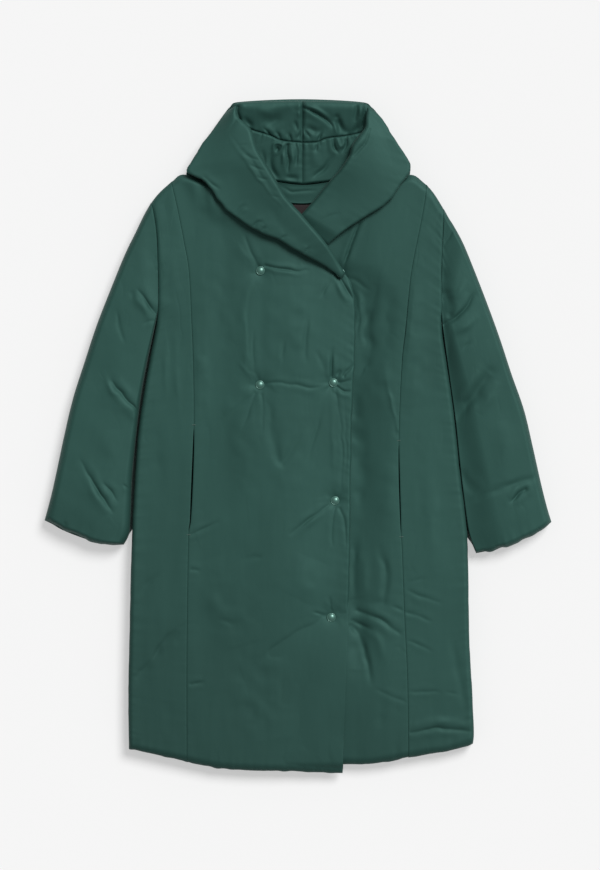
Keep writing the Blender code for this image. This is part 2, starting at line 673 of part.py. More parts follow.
def sleeves():
    """The two sleeves, which join the body at the upper part of its side seams."""
    for name, side, cuff, outer, inner in (
        ("right_sleeve", SIDE_RIGHT, CUFF_RIGHT, SLEEVE_RIGHT_OUTER, SLEEVE_RIGHT_INNER),
        ("left_sleeve", SIDE_LEFT, CUFF_LEFT, SLEEVE_LEFT_OUTER, SLEEVE_LEFT_INNER),
    ):
        armhole = armhole_of(side, inner[0][1])
        sleeve(name, armhole, cuff, (armhole[0],) + outer[1:], (armhole[-1],) + inner[1:])


def hood():
    """The hood's back and, on it, the four pieces that show in its mouth, the neck facing and the lining."""
    rest = BACK_THICKNESS + SEAM_GAP
    grid = inset(patch(NECK_BACK, HOOD_TOP, HOOD_SIDE_RIGHT, HOOD_SIDE_LEFT, BACK_COLUMNS, CROWN_ROWS))
    lift = lifted(grid, {"left": HOOD_LIFT, "right": HOOD_LIFT, "high": HOOD_LIFT})
    pad("hood_back", SHELL, grid, lift, BACK_THICKNESS, flat_ring=2)

    crown_right, crown_left = split(CROWN_TOP)
    gather_right, gather_left = split(GATHER)
    nape_right, nape_left = split(NAPE_BOTTOM)
    crown_seam = (gather_left[0], crown_left[0])
    nape_seam = (nape_left[0], gather_left[0])
    right_end = (gather_right[0], crown_right[0])
    left_end = (gather_left[-1], crown_left[-1])
    for name, low, high, left, right, rows, hidden, opening in (
        ("hood_right_crown", gather_right, crown_right, right_end, crown_seam, CROWN_ROWS, "left", True),
        ("hood_left_crown", gather_left, crown_left, crown_seam, left_end, CROWN_ROWS, "right", True),
        ("hood_right_nape", nape_right, gather_right, NAPE_SIDE_RIGHT, nape_seam, NAPE_ROWS, "left", False),
        ("hood_left_nape", nape_left, gather_left, nape_seam, NAPE_SIDE_LEFT, NAPE_ROWS, "right", False),
    ):
        grid = inset(patch(low, high, left, right, CROWN_COLUMNS, rows))
        edges = dict.fromkeys(("left", "right", "low", "high"), HOOD_SEAM)
        edges[hidden] = HIDDEN_EDGE
        if opening:
            edges["high"] = HOOD_OPENING
        thick = rounded(grid, edges, INNER_HOOD_THICKNESS)
        creases = folds(grid, HOOD_FOLDS) * thick / INNER_HOOD_THICKNESS
        pad(name, SHELL, grid, rest, rest + thick + creases, flat_ring=1)

    for name, finish, low, high, full, edge in (
        ("neck_facing", SHELL, FACING_BOTTOM, FACING_TOP, FACING_THICKNESS, FACING_EDGE),
        ("back_lining", LINING, LINING_BOTTOM, LINING_TOP, LINING_THICKNESS, LINING_EDGE),
    ):
        left, right = (low[0], high[0]), (low[-1], high[-1])
        grid = inset(patch(low, high, left, right, SMALL_COLUMNS, SMALL_ROWS))
        edges = dict.fromkeys(("left", "right", "low", "high"), edge)
        pad(name, finish, grid, rest, rest + rounded(grid, edges, full), flat_ring=1)


def split(curve):
    """The two parts of a curve on either side of the hood's centre seam, where the curve has a point."""
    at = [x for x, _ in curve].index(HOOD_CENTRE)
    return curve[:at + 1], curve[at:]


def wings():
    """The two sides of the hood, each turned over onto what lies beneath it, the right over the left."""
    rest = BACK_THICKNESS + SEAM_GAP
    under = [thing.name for thing in bpy.context.scene.objects]
    edges = {"left": WING_OUTER_EDGE, "right": WING_RIM_EDGE, "low": WING_END, "high": WING_END}
    rows = np.array(WING_ROWS)[None]
    for name, outer, rim, tip in (
        ("hood_left_wing", WING_LEFT_OUTER, WING_LEFT_RIM, WING_LEFT_TIP),
        ("hood_right_wing", WING_RIGHT_OUTER, WING_RIGHT_RIM, WING_RIGHT_TIP),
    ):
        grid = patch((outer[0], rim[0]), (outer[-1], rim[-1]), outer, rim, WING_COLUMNS, WING_ROWS)
        resting = settle(grid, np.full(grid.shape[:2], rest), tree_of(under))
        bottom = relax(resting, WING_BRIDGE)
        bottom[0] = resting[0]
        ends = 1 - smooth_step(rows, *WING_TIP_ENDS) * (1 - tip / WING_THICKNESS)
        ends = ends * (WING_TOP_SHARE + (1 - WING_TOP_SHARE) * smooth_step(rows, 0, WING_TOP_END))
        thick = rounded(grid, edges, WING_THICKNESS)
        creases = folds(grid, HOOD_FOLDS) * thick / WING_THICKNESS
        pad(name, SHELL, grid, bottom, bottom + (thick + creases) * ends)
        under.append(name)


def snaps():
    """The snap caps, each a low dome on the cloth in its dimple."""
    cloth = tree_of([thing.name for thing in bpy.context.scene.objects])
    radius = CAP_DIAMETER / 2
    turns = [2 * math.pi * k / CAP_SIDES for k in range(CAP_SIDES)]
    for name, x, y in SNAPS:
        seat = SEAM_GAP + max(height_under(cloth, x + reach * math.cos(turn), y + reach * math.sin(turn))
                              for reach in np.linspace(0, radius, 6) for turn in turns)
        points = []
        for level, share in CAP_SECTION:
            reach = share * radius
            points += [(x + reach * math.cos(turn), y + reach * math.sin(turn), seat + level * CAP_HEIGHT)
                       for turn in turns]
        points.append((x, y, seat + CAP_HEIGHT))
        faces = [tuple(reversed(range(CAP_SIDES)))]
        for k in range(CAP_SIDES):
            n = (k + 1) % CAP_SIDES
            for start in range(0, (len(CAP_SECTION) - 1) * CAP_SIDES, CAP_SIDES):
                faces.append((start + k, start + n, start + CAP_SIDES + n, start + CAP_SIDES + k))
            start = (len(CAP_SECTION) - 1) * CAP_SIDES
            faces.append((start + k, start + n, len(points) - 1))
        new_object(name, CAP, points, faces)


def main():
    """Builds the coat from the back panel up."""
    clear_scene()
    back()
    fronts()
    pocket("right_pocket", PRINCESS_RIGHT, SLIT_RIGHT)
    pocket("left_pocket", PRINCESS_LEFT, SLIT_LEFT)
    sleeves()
    hood()
    snaps()
    wings()


main()
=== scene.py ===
"""Looks of a long padded coat with a hood, laid flat on its back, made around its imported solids.

X runs across the coat (the wearer's left is +X), Y from the hem to the hood, and Z up from the surface that
the coat lies on. Lengths in the tables are millimetres, and MM turns them into metres. "Right" and "left" in
names are the wearer's: the right front laps over the left one.
"""

import logging
import math
from dataclasses import dataclass, field
from enum import Enum

import bpy
import numpy as np
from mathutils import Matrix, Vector
from mathutils.bvhtree import BVHTree


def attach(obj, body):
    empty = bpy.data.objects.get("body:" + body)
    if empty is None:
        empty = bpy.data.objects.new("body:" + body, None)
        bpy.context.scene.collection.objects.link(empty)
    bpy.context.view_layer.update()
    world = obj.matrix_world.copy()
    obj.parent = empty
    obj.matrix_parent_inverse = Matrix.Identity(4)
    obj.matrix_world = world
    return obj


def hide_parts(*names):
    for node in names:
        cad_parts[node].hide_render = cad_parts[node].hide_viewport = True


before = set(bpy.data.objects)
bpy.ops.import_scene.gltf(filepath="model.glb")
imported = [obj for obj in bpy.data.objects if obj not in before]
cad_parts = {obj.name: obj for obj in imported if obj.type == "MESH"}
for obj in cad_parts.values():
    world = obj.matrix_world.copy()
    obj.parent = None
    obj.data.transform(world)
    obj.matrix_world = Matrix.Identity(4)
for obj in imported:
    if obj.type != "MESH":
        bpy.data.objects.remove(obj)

logging.basicConfig(level=logging.INFO, format="%(message)s")
log = logging.getLogger("coat")

MM = 0.001
BODY = "root"

Curve = tuple
Plan = np.ndarray
Heights = np.ndarray


class Side(Enum):
    """The four sides of a panel's grid."""

    LEFT = "left"
    RIGHT = "right"
    LOW = "low"
    HIGH = "high"


class Round(Enum):
    """How padding rounds off towards an edge."""

    BOLSTER = "bolster"
    SEAM = "seam"


class FoldKind(Enum):
    """A fold's section: soft, a pressed crease, or steep right of its line and gentle left of it."""

    SOFT = "soft"
    CREASE = "crease"
    STEEP = "steep"


class Held(Enum):
    """How a sheet of cloth is held where it is."""

    LAID = "laid"
    FOLDED = "folded"
    GATHERED = "gathered"


SOFT, CREASE, STEEP = FoldKind.SOFT, FoldKind.CREASE, FoldKind.STEEP

# Padding and gaps
BACK_THICKNESS = 16.0
FRONT_THICKNESS = 21.0
CROWN_THICKNESS = 13.0
NAPE_THICKNESS = 12.0
WING_THICKNESS = 27.0
FACING_THICKNESS = 6.0
LINING_THICKNESS = 2.5
SEAM_GAP = 0.2
REST = BACK_THICKNESS + SEAM_GAP
LAY_GAP = 0.6
SEAM_PULL = 4.0
GRID_STEP = 2.3
BODY_LENGTH = 1060.0

# How far folds stray from their lines and how much their height varies, each with how far apart it changes
FOLD_STRAY, FOLD_STRAY_CELL = 1.6, 17
FOLD_UNEVEN, FOLD_UNEVEN_CELL = 0.45, 22

# Outline and seams, (x, y), each from the hem up or from the wearer's right to left
SIDE_RIGHT: Curve = (
    (-313, -580), (-314, -488), (-312, -377), (-308, -207), (-304, -118), (-297, -7), (-286, 76), (-273, 150),
    (-259, 224), (-257, 271), (-258, 322), (-260, 372), (-265, 410), (-271, 433),
)
PRINCESS_RIGHT: Curve = (
    (-205, -604), (-205, -395), (-202, -192), (-198, -146), (-192, 15), (-193, 134), (-196, 210), (-201, 304),
    (-210, 358), (-222, 419), (-234, 471),
)
EDGE_RIGHT: Curve = (
    (84, -625), (87, -525), (93, -377), (97, -229), (99, -81), (102, 49), (107, 160), (107, 243), (100, 280),
    (89, 301), (76, 317),
)
SIDE_LEFT: Curve = (
    (325, -571), (326, -540), (323, -469), (318, -377), (315, -207), (311, -153), (300, -64), (291, 26),
    (282, 93), (271, 169), (267, 209), (266, 252), (266, 308), (267, 348), (269, 385), (270, 421),
)
PRINCESS_LEFT: Curve = (
    (205, -596), (203, -451), (198, -344), (193, -212), (190, -155), (187, -7), (193, 134), (200, 197),
    (208, 285), (215, 330), (226, 385), (234, 428), (239, 465),
)
EDGE_LEFT: Curve = ((-96, -606), (-98, -488), (-99, -229), (-99, 30), (-96, 178), (-85, 263))
SHOULDER_RIGHT: Curve = ((-271, 433), (-255, 452), (-234, 471))
SHOULDER_LEFT: Curve = ((239, 465), (253, 448), (270, 421))
NECK_RIGHT: Curve = ((-234, 471), (-207, 484), (-135, 456), (-66, 420), (4, 374), (76, 317))
NECK_LEFT: Curve = ((-85, 263), (4, 360), (69, 405), (115, 435), (161, 461), (208, 484), (239, 465))
NECK_BACK: Curve = ((-207, 484), (-107, 470), (0, 464), (106, 470), (208, 484))
HEM_SIDE_RIGHT: Curve = ((-313, -580), (-255, -593), (-205, -604))
HEM_FRONT_RIGHT: Curve = ((-205, -604), (-144, -616), (-70, -620), (4, -622), (84, -625))
HEM_FRONT_LEFT: Curve = ((-96, -606), (4, -608), (87, -608), (134, -608), (166, -603), (205, -596))
HEM_SIDE_LEFT: Curve = ((205, -596), (242, -589), (272, -586), (293, -580), (325, -571))
HEM_BACK: Curve = (
    (-313, -580), (-255, -591), (-205, -601), (-144, -610), (-70, -614), (4, -614), (87, -604), (165, -599),
    (205, -593), (241, -585), (293, -577), (325, -571),
)
SLEEVE_RIGHT_OUTER: Curve = (
    (-271, 433), (-283, 413), (-290, 399), (-301, 376), (-320, 337), (-347, 271), (-373, 204), (-395, 137),
    (-416, 71), (-432, 4), (-446, -62), (-456, -107), (-468, -153),
)
SLEEVE_RIGHT_INNER: Curve = (
    (-261, 222), (-277, 145), (-290, 76), (-300, -7), (-307, -81), (-309, -136), (-312, -179), (-323, -203),
)
CUFF_RIGHT: Curve = ((-468, -153), (-437, -173), (-388, -192), (-357, -200), (-323, -203))
SLEEVE_LEFT_OUTER: Curve = (
    (270, 421), (280, 404), (290, 388), (306, 358), (324, 315), (350, 248), (374, 182), (396, 115), (419, 49),
    (435, -18), (450, -85), (461, -129), (470, -159),
)
SLEEVE_LEFT_INNER: Curve = (
    (268, 207), (272.6, 169), (283, 93), (291.9, 26), (300.9, -64), (311.9, -153), (319, -188), (330, -216),
)
CUFF_LEFT: Curve = ((470, -159), (450, -175), (402, -197), (363, -210), (330, -216))
HOOD_SIDE_RIGHT: Curve = ((-207, 484), (-205, 493), (-194, 515), (-164, 559), (-135, 600))
HOOD_SIDE_LEFT: Curve = ((208, 484), (209, 498), (206, 511), (189, 537), (167, 570), (150, 596))
HOOD_TOP: Curve = ((-135, 600), (-125, 611), (-107, 620), (4, 625), (115, 620), (137, 610), (150, 596))
HOOD_CENTRE = 9
CROWN_TOP: Curve = ((-127, 606), (-107, 617), (9, 621), (115, 617), (141, 606))
GATHER: Curve = (
    (-140, 582), (-107, 577), (-83, 566), (-53, 557), (-29, 547), (9, 543), (36, 544), (54, 551), (97, 557),
    (137, 568), (154, 576),
)
NAPE_BOTTOM: Curve = ((-166, 500), (-66, 476), (9, 466), (87, 476), (172, 500))
NAPE_SIDE_RIGHT: Curve = ((-166, 500), (-162, 540), (-140, 582))
NAPE_SIDE_LEFT: Curve = ((172, 500), (172, 540), (154, 576))
FACING_TOP: Curve = ((-66, 475), (9, 465), (80, 474))
FACING_BOTTOM: Curve = ((-60, 440), (9, 431), (64, 441))
LINING_TOP: Curve = ((-40, 430), (10, 429), (54, 430))
LINING_BOTTOM: Curve = ((-22, 409), (10, 390), (36, 411))
WING_RIGHT_OUTER: Curve = (
    (-135, 600), (-164, 559), (-194, 515), (-207, 491), (-190, 478), (-170, 466), (-133, 418), (-83, 382),
    (-37, 362), (-5, 343), (37, 321), (66, 303), (80, 291),
)
WING_RIGHT_RIM: Curve = (
    (-114, 611), (-111, 592), (-96, 578), (-85, 565), (-75, 533), (-57, 502), (-38, 471), (-20, 441),
    (10, 407), (52, 358), (76, 321), (88, 301),
)
WING_LEFT_OUTER: Curve = (
    (150, 596), (167, 570), (189, 537), (206, 511), (209, 495), (206, 483), (189, 461), (165, 430),
    (111, 395), (86, 377), (54, 352),
)
WING_LEFT_RIM: Curve = (
    (130, 609), (126, 592), (124, 572), (111, 554), (99, 537), (93, 517), (78, 494), (60, 474), (41, 450),
    (12, 417), (-8, 399),
)
SLIT_RIGHT = (-175, 13)
SLIT_LEFT = (-179, -16)

# Snap caps: node, x, y, how strongly the cloth gathers round it
SNAPS = (
    ("snap_1", -69, 306, 0.5),
    ("snap_2", -70, 95, 0.9),
    ("snap_3", 66, 99, 1.3),
    ("snap_4", 69, -119, 0.6),
    ("snap_5", 62, -335, 0.9),
    ("snap_6", 79, 302, 0.8),
)

# Folds: kind, half width, height (below zero for a trough), points, and where a fold doesn't fade in, the
# share of its height at its first point
RIGHT_FRONT_FOLDS = (
    (SOFT, 20, 5, ((-203, 504), (-170, 448), (-129, 411), (-88, 385)), 0.9),
    (CREASE, 3, -2, ((-72, 313), (-85, 339), (-98, 370)), 0.9),
    (STEEP, 5, 1.3, ((-83, 315), (-98, 335), (-114, 358))),
    (CREASE, 2.4, -2.8, ((-59, 315), (-38, 310), (-18, 308), (-1, 306), (17, 307)), 1),
    (STEEP, 4, 1.1, ((-81, 104), (-90, 132), (-98, 189), (-99, 226), (-93, 265), (-77, 302))),
    (CREASE, 2.4, -0.6, ((-83, 197), (-81, 115))),
    (SOFT, 12, -1, ((-66, 285), (-70, 215), (-66, 126))),
    (SOFT, 4, -1.2, ((-24, 178), (-31, 137))),
    (SOFT, 3, 0.5, ((-25, 156), (-40, 123))),
    (CREASE, 2.6, -1.5, ((-61, 97), (-33, 99), (-1, 94), (26, 89), (49, 93)), 0.8),
    (STEEP, 5, 1.4, ((-138, 39), (-111, 63), (-81, 84))),
    (CREASE, 3, -1, ((-79, 80), (-88, 52), (-101, 15)), 0.9),
    (CREASE, 3, -1, ((-68, 78), (-64, 45), (-66, 8)), 0.9),
    (SOFT, 4, 0.8, ((-107, 137), (-85, 106))),
    (SOFT, 5, 0.8, ((-96, 156), (-94, 119))),
    (STEEP, 20, 1.8, ((-96, 71), (-107, 12), (-96, -99))),
    (SOFT, 8, -2.2, ((-59, 82), (-48, 12), (-29, -48), (12, 23))),
    (STEEP, 20, 1.4, ((-3, 78), (-20, -7), (-25, -140))),
    (SOFT, 4, -1, ((45, 56), (34, 12), (19, -44))),
    (CREASE, 3, -1, ((71, 78), (80, 12), (82, -103)), 0.9),
    (CREASE, 3, -0.8, ((86, 67), (89, -7), (89, -81))),
    (SOFT, 5, 0.8, ((62, 74), (65, -7), (67, -96))),
    (CREASE, 2.6, -3, ((62, 110), (62, 130), (65, 160)), 1),
    (CREASE, 2.6, -2, ((78, 100), (100, 104)), 1),
    (CREASE, 2.4, -3, ((86, 111), (95, 123), (104, 132)), 0.9),
    (SOFT, 4, -2.4, ((71, 111), (82, 121))),
    (CREASE, 2.4, -3, ((74, 91), (86, 83), (99, 82)), 1),
    (SOFT, 5, -1, ((50, 119), (34, 160))),
    (CREASE, 2.8, -1.2, ((69, -133), (65, -155), (63, -201)), 1),
    (CREASE, 2.8, -1, ((78, -133), (86, -164), (89, -207)), 0.9),
    (CREASE, 3, -1.8, ((58, -127), (23, -153), (-14, -181)), 0.8),
    (SOFT, 5, 0.9, ((50, -140), (15, -166))),
    (SOFT, 5, 0.7, ((73, -99), (74, -48))),
    (CREASE, 2.8, -1.4, ((62, -323), (60, -297)), 1),
    (CREASE, 2.8, -1.4, ((74, -333), (89, -331)), 1),
    (CREASE, 2.6, -1.2, ((50, -331), (30, -325)), 0.9),
    (STEEP, 7, -2.2, ((50, -344), (19, -358), (-24, -382), (-68, -412)), 0.6),
    (CREASE, 3, -1.6, ((52, -355), (37, -386), (19, -423)), 0.8),
    (SOFT, 6, 1, ((65, -351), (63, -405))),
    (CREASE, 3.4, -3.4, ((74, 302), (84, 284), (102, 252)), 1),
    (SOFT, 5, 1.4, ((67, 293), (78, 271), (93, 245))),
    (SOFT, 4.5, -2.2, ((19, 219), (13, 178), (15, 134))),
    (CREASE, 3, -1.2, ((60, 287), (52, 274), (43, 258))),
    (STEEP, 15, 1.8, ((-168, 26), (-175, 141), (-173, 271))),
    (SOFT, 26, -1.2, ((-136, 437), (-136, 252), (-140, 67))),
    (STEEP, 26, 2.4, ((15, 104), (8, 197), (8, 280))),
    (SOFT, 34, 2, ((37, -229), (4, -303))),
    (SOFT, 60, -2, ((-88, -377), (-66, -469), (-51, -562))),
    (STEEP, 26, 2, ((-172, -229), (-140, -321), (-116, -395))),
    (CREASE, 3, -1.4, ((-199, -459), (-175, -455)), 1),
    (CREASE, 3, -0.9, ((-197, -246), (-181, -249)), 1),
    (SOFT, 5, -0.7, ((-149, -336), (-116, -347))),
    (CREASE, 3, -1.2, ((-199, -183), (-173, -172), (-148, -159)), 1),
    (SOFT, 5, -0.8, ((-98, -229), (-66, -222))),
)
RIGHT_SIDE_FOLDS = (
    (STEEP, 30, 2.4, ((-244, 215), (-249, 289), (-236, 372))),
    (SOFT, 5, 0.6, ((-244, 67), (-244, 160), (-236, 197))),
    (SOFT, 6, 0.7, ((-225, 197), (-222, 95), (-216, 21))),
    (SOFT, 4, -0.6, ((-231, 456), (-218, 391), (-210, 345))),
    (SOFT, 12, -0.8, ((-259, 12), (-259, -118))),
    (STEEP, 6, -2.4, ((-222, -356), (-244, -377), (-273, -421), (-305, -449))),
    (SOFT, 6, -1.2, ((-259, -251), (-275, -271), (-296, -296))),
    (SOFT, 10, 1, ((-218, -377), (-246, -405), (-283, -447))),
    (SOFT, 18, -1, ((-236, -488), (-240, -562))),
)
LEFT_FRONT_FOLDS = (
    (SOFT, 16, -6, ((104, -296), (115, -358), (108, -432))),
    (STEEP, 8, -3.4, ((126, 134), (136, 167), (129, 193), (137, 243), (147, 285)), 0.5),
    (SOFT, 6, 3.6, ((110, 271), (115, 243), (116, 211))),
    (SOFT, 4, 1.4, ((119, 169), (117, 197), (123, 219))),
    (CREASE, 2.4, -1.6, ((108, 252), (115, 222), (111, 193))),
    (SOFT, 14, -2.2, ((174, 282), (167, 215), (160, 156))),
    (STEEP, 12, 2, ((174, 30), (163, 86), (160, 160))),
    (CREASE, 2.6, 1, ((185, 10), (176, 49), (163, 104)), 0.7),
    (CREASE, 2.6, 1, ((187, 10), (193, 49), (197, 123)), 0.7),
    (SOFT, 16, -3.6, ((106, 115), (106, 30), (115, -62), (117, -155))),
    (CREASE, 2.8, -3.2, ((113, 395), (100, 358), (84, 313)), 0.8),
    (SOFT, 3, -1.2, ((100, 363), (87, 326))),
    (SOFT, 7, -3, ((151, -210), (163, -242), (163, -271), (159, -305))),
    (STEEP, 12, 2, ((123, -299), (119, -257), (121, -210))),
    (SOFT, 7, -2.6, ((106, -194), (104, -251), (106, -310))),
    (SOFT, 8, -1.4, ((128, -312), (152, -307), (174, -308))),
    (CREASE, 4, -2.8, ((110, -323), (151, -338), (193, -368)), 0.9),
    (CREASE, 2.8, -1, ((202, -376), (222, -388), (250, -401))),
    (CREASE, 3, -1.6, ((102, -340), (119, -349), (137, -360)), 0.9),
    (SOFT, 5, -2.8, ((99, -351), (113, -370), (126, -405), (134, -454)), 0.7),
    (SOFT, 8, 1.4, ((115, -355), (147, -377), (160, -414))),
    (CREASE, 3, -0.8, ((143, -466), (174, -481), (204, -493))),
    (CREASE, 3, -1.2, ((173, -312), (197, -323))),
    (CREASE, 2.6, -1.4, ((84, 295), (106, 291), (123, 276), (137, 267)), 0.8),
    (CREASE, 2.6, -1, ((91, 282), (110, 252)), 0.9),
    (SOFT, 20, 1.4, ((167, -25), (163, -118), (171, -192))),
    (SOFT, 9, -1, ((160, -469), (152, -543))),
)
LEFT_SIDE_FOLDS = (
    (SOFT, 36, 3.4, ((195, 345), (198, 215), (204, 49))),
    (SOFT, 16, 1.2, ((235, -7), (248, -155), (256, -266))),
    (CREASE, 3, -0.9, ((197, -283), (230, -297), (265, -308))),
    (CREASE, 3, -1.1, ((189, -321), (215, -329), (247, -342))),
    (CREASE, 2.6, -0.9, ((197, -377), (215, -382), (248, -399))),
    (CREASE, 2.6, -0.8, ((206, -473), (234, -471), (265, -475))),
    (CREASE, 2.4, -0.6, ((274, -473), (296, -477))),
    (CREASE, 3.4, -2.6, ((208, -547), (243, -542), (269, -540), (295, -543), (326, -547)), 0.9),
    (SOFT, 8, 1.2, ((211, -534), (263, -527), (315, -534))),
    (SOFT, 4, -0.5, ((204, -270), (235, -262))),
    (SOFT, 8, -0.9, ((285, -377), (304, -469), (311, -525))),
)
RIGHT_SLEEVE_FOLDS = (
    (CREASE, 4, -2.8, ((-259, 222), (-277, 247), (-296, 272)), 0.9),
    (SOFT, 6, 1.4, ((-273, 219), (-288, 239), (-305, 259))),
    (CREASE, 3, -1.2, ((-260, 213), (-273, 213), (-284, 208)), 0.9),
    (SOFT, 4, -1, ((-334, 230), (-329, 200), (-321, 173))),
    (SOFT, 5, -0.8, ((-308, 271), (-305, 252))),
    (CREASE, 4, -3.4, ((-296, 45), (-318, 71), (-333, 87), (-344, 104)), 0.8),
    (STEEP, 8, 2, ((-303, 41), (-329, 67), (-355, 100))),
    (SOFT, 5, 0.8, ((-358, 119), (-347, 89), (-329, 60))),
    (CREASE, 3.6, -2.8, ((-401, -44), (-381, -81), (-362, -111), (-344, -140))),
    (STEEP, 7, 1.5, ((-351, -144), (-373, -114), (-395, -81))),
    (CREASE, 3.2, -2, ((-358, -85), (-345, -101), (-333, -118))),
    (CREASE, 2.8, -1.4, ((-321, -90), (-310, -99))),
    (SOFT, 4, -1.2, ((-431, -157), (-431, -173))),
    (SOFT, 18, -0.8, ((-273, 378), (-279, 322), (-273, 280))),
    (SOFT, 20, 1, ((-347, 12), (-344, -62))),
)
LEFT_SLEEVE_FOLDS = (
    (CREASE, 5, -5, ((271, 206), (293, 219), (311, 237), (326, 261)), 0.9),
    (SOFT, 8, -5, ((274, 263), (282, 241), (280, 217)), 0.6),
    (SOFT, 5, -2, ((284, 230), (280, 211))),
    (SOFT, 8, 2.2, ((333, 226), (315, 206), (285, 189))),
    (SOFT, 7, 1.8, ((315, 289), (300, 269), (291, 252))),
    (SOFT, 10, -6.5, ((356, 119), (341, 97), (324, 71), (291, 30)), 0.3),
    (SOFT, 9, 2, ((293, 67), (311, 89), (333, 123))),
    (SOFT, 10, 2.2, ((333, 41), (352, 67), (369, 104))),
    (CREASE, 3.4, -3.4, ((420, -98), (407, -109), (395, -120)), 0.7),
    (SOFT, 6, -1.8, ((448, -74), (396, -88), (356, -103), (319, -123))),
    (SOFT, 9, -2.6, ((300, -59), (311, -85), (333, -103))),
    (SOFT, 8, -2, ((271, 313), (271, 284))),
    (SOFT, 10, -1.6, ((258, -159), (256, -201))),
    (CREASE, 3.4, -1.6, ((289, 385), (276, 363), (267, 345))),
    (SOFT, 18, -1.2, ((311, -7), (326, -62), (341, -118))),
    (SOFT, 18, 1.4, ((374, 30), (385, -25), (374, -81))),
    (CREASE, 3, -1, ((306, 160), (319, 176))),
)
RIGHT_WING_FOLDS = (
    (CREASE, 3, -2.2, ((-111, 609), (-112, 596), (-114, 581), (-127, 565))),
    (SOFT, 3, 1.4, ((-120, 600), (-120, 578))),
    (SOFT, 2.4, 0.9, ((-127, 552), (-114, 531), (-98, 509), (-77, 481), (-55, 452), (-25, 417))),
    (CREASE, 2.2, -0.9, ((-122, 554), (-107, 533), (-88, 511), (-68, 483), (-48, 456))),
    (CREASE, 2, -1.1, ((-96, 517), (-83, 511), (-70, 509)), 0.8),
    (CREASE, 2, -0.9, ((-85, 498), (-74, 493), (-61, 489)), 0.8),
    (CREASE, 2, -0.9, ((-107, 535), (-94, 537)), 0.8),
    (CREASE, 2, -0.9, ((-72, 478), (-55, 472)), 0.8),
    (CREASE, 2, -0.8, ((-48, 444), (-33, 439)), 0.8),
    (SOFT, 10, -0.9, ((-66, 437), (-24, 385), (26, 345))),
    (SOFT, 12, 0.8, ((-122, 441), (-66, 396), (4, 352))),
    (CREASE, 2.6, -1.8, ((-173, 478), (-159, 465), (-144, 456)), 0.7),
    (CREASE, 2.2, -3, ((-116, 402), (-109, 417), (-98, 426)), 0.9),
    (CREASE, 2.2, -2.8, ((-88, 380), (-77, 393), (-68, 396)), 0.9),
    (CREASE, 2.2, -2, ((-66, 380), (-59, 387)), 0.9),
    (CREASE, 2.2, -2.4, ((-31, 361), (-20, 372)), 0.9),
    (CREASE, 2.2, -2, ((13, 337), (21, 348)), 0.9),
    (SOFT, 3, 1.2, ((-105, 411), (-94, 419))),
    (SOFT, 20, 0.8, ((-153, 511), (-125, 465), (-88, 437))),
)
LEFT_WING_FOLDS = (
    (SOFT, 9, 0.7, ((100, 506), (71, 463), (34, 422))),
    (SOFT, 12, -0.7, ((119, 515), (89, 467), (52, 419))),
    (CREASE, 2.2, -2.4, ((134, 565), (126, 546), (110, 524), (95, 506)), 0.6),
    (SOFT, 3, 1.2, ((119, 552), (104, 530))),
    (CREASE, 2.6, -2, ((182, 432), (167, 417), (148, 400)), 0.9),
    (CREASE, 2.6, -1.6, ((195, 467), (178, 446), (163, 424)), 0.7),
    (SOFT, 4, 1.2, ((187, 444), (171, 428))),
    (SOFT, 6, -0.8, ((95, 400), (71, 370))),
    (CREASE, 3, -1.2, ((74, 411), (49, 402), (21, 378))),
    (CREASE, 2.2, -1, ((137, 396), (130, 411)), 0.9),
)
CROWN_FOLDS = (
    (SOFT, 8, -5, ((95, 544), (108, 565), (119, 585)), 0.6),
    (SOFT, 9, -4, ((37, 600), (62, 583), (89, 559)), 0.5),
    (CREASE, 2.6, -5.7, ((11, 607), (34, 596), (50, 587), (65, 572)), 0.7),
    (SOFT, 3.5, 2.3, ((19, 611), (41, 600), (60, 587))),
    (SOFT, 5, -6.2, ((73, 591), (80, 574), (93, 561)), 0.6),
    (SOFT, 4, 3.4, ((62, 583), (71, 567), (74, 554))),
    (SOFT, 6, -3.6, ((15, 570), (34, 565), (49, 567))),
    (CREASE, 3, -5.2, ((-111, 609), (-112, 598), (-108, 585), (-122, 572)), 0.6),
    (SOFT, 3, 2.6, ((-118, 604), (-118, 589))),
    (CREASE, 3, -5.7, ((124, 611), (123, 594), (119, 570)), 0.8),
    (SOFT, 4, -3.9, ((110, 613), (108, 596), (104, 581))),
    (SOFT, 3.5, 2.3, ((117, 607), (115, 589))),
    (SOFT, 9, -3.9, ((-70, 578), (-37, 587), (-11, 604))),
    (SOFT, 8, 2.3, ((-77, 600), (-42, 600))),
    (SOFT, 3, 2.1, ((2, 587), (0, 600))),
    (SOFT, 3, -3.1, ((-7, 583), (-1, 567))),
    (CREASE, 2.4, -3.9, ((6, 565), (2, 552))),
    (CREASE, 2.4, -3.9, ((13, 565), (23, 552))),
    (SOFT, 2.4, 3.4, ((10, 570), (12, 554))),
    (CREASE, 2.4, -3.9, ((-49, 554), (-62, 570)), 0.8),
    (CREASE, 2.4, -3.4, ((-31, 548), (-40, 563)), 0.8),
    (CREASE, 2.4, -3.1, ((-12, 544), (-18, 559)), 0.8),
    (CREASE, 2.4, -3.1, ((37, 546), (45, 561)), 0.8),
    (SOFT, 6, -3.1, ((-101, 589), (-85, 574))),
)
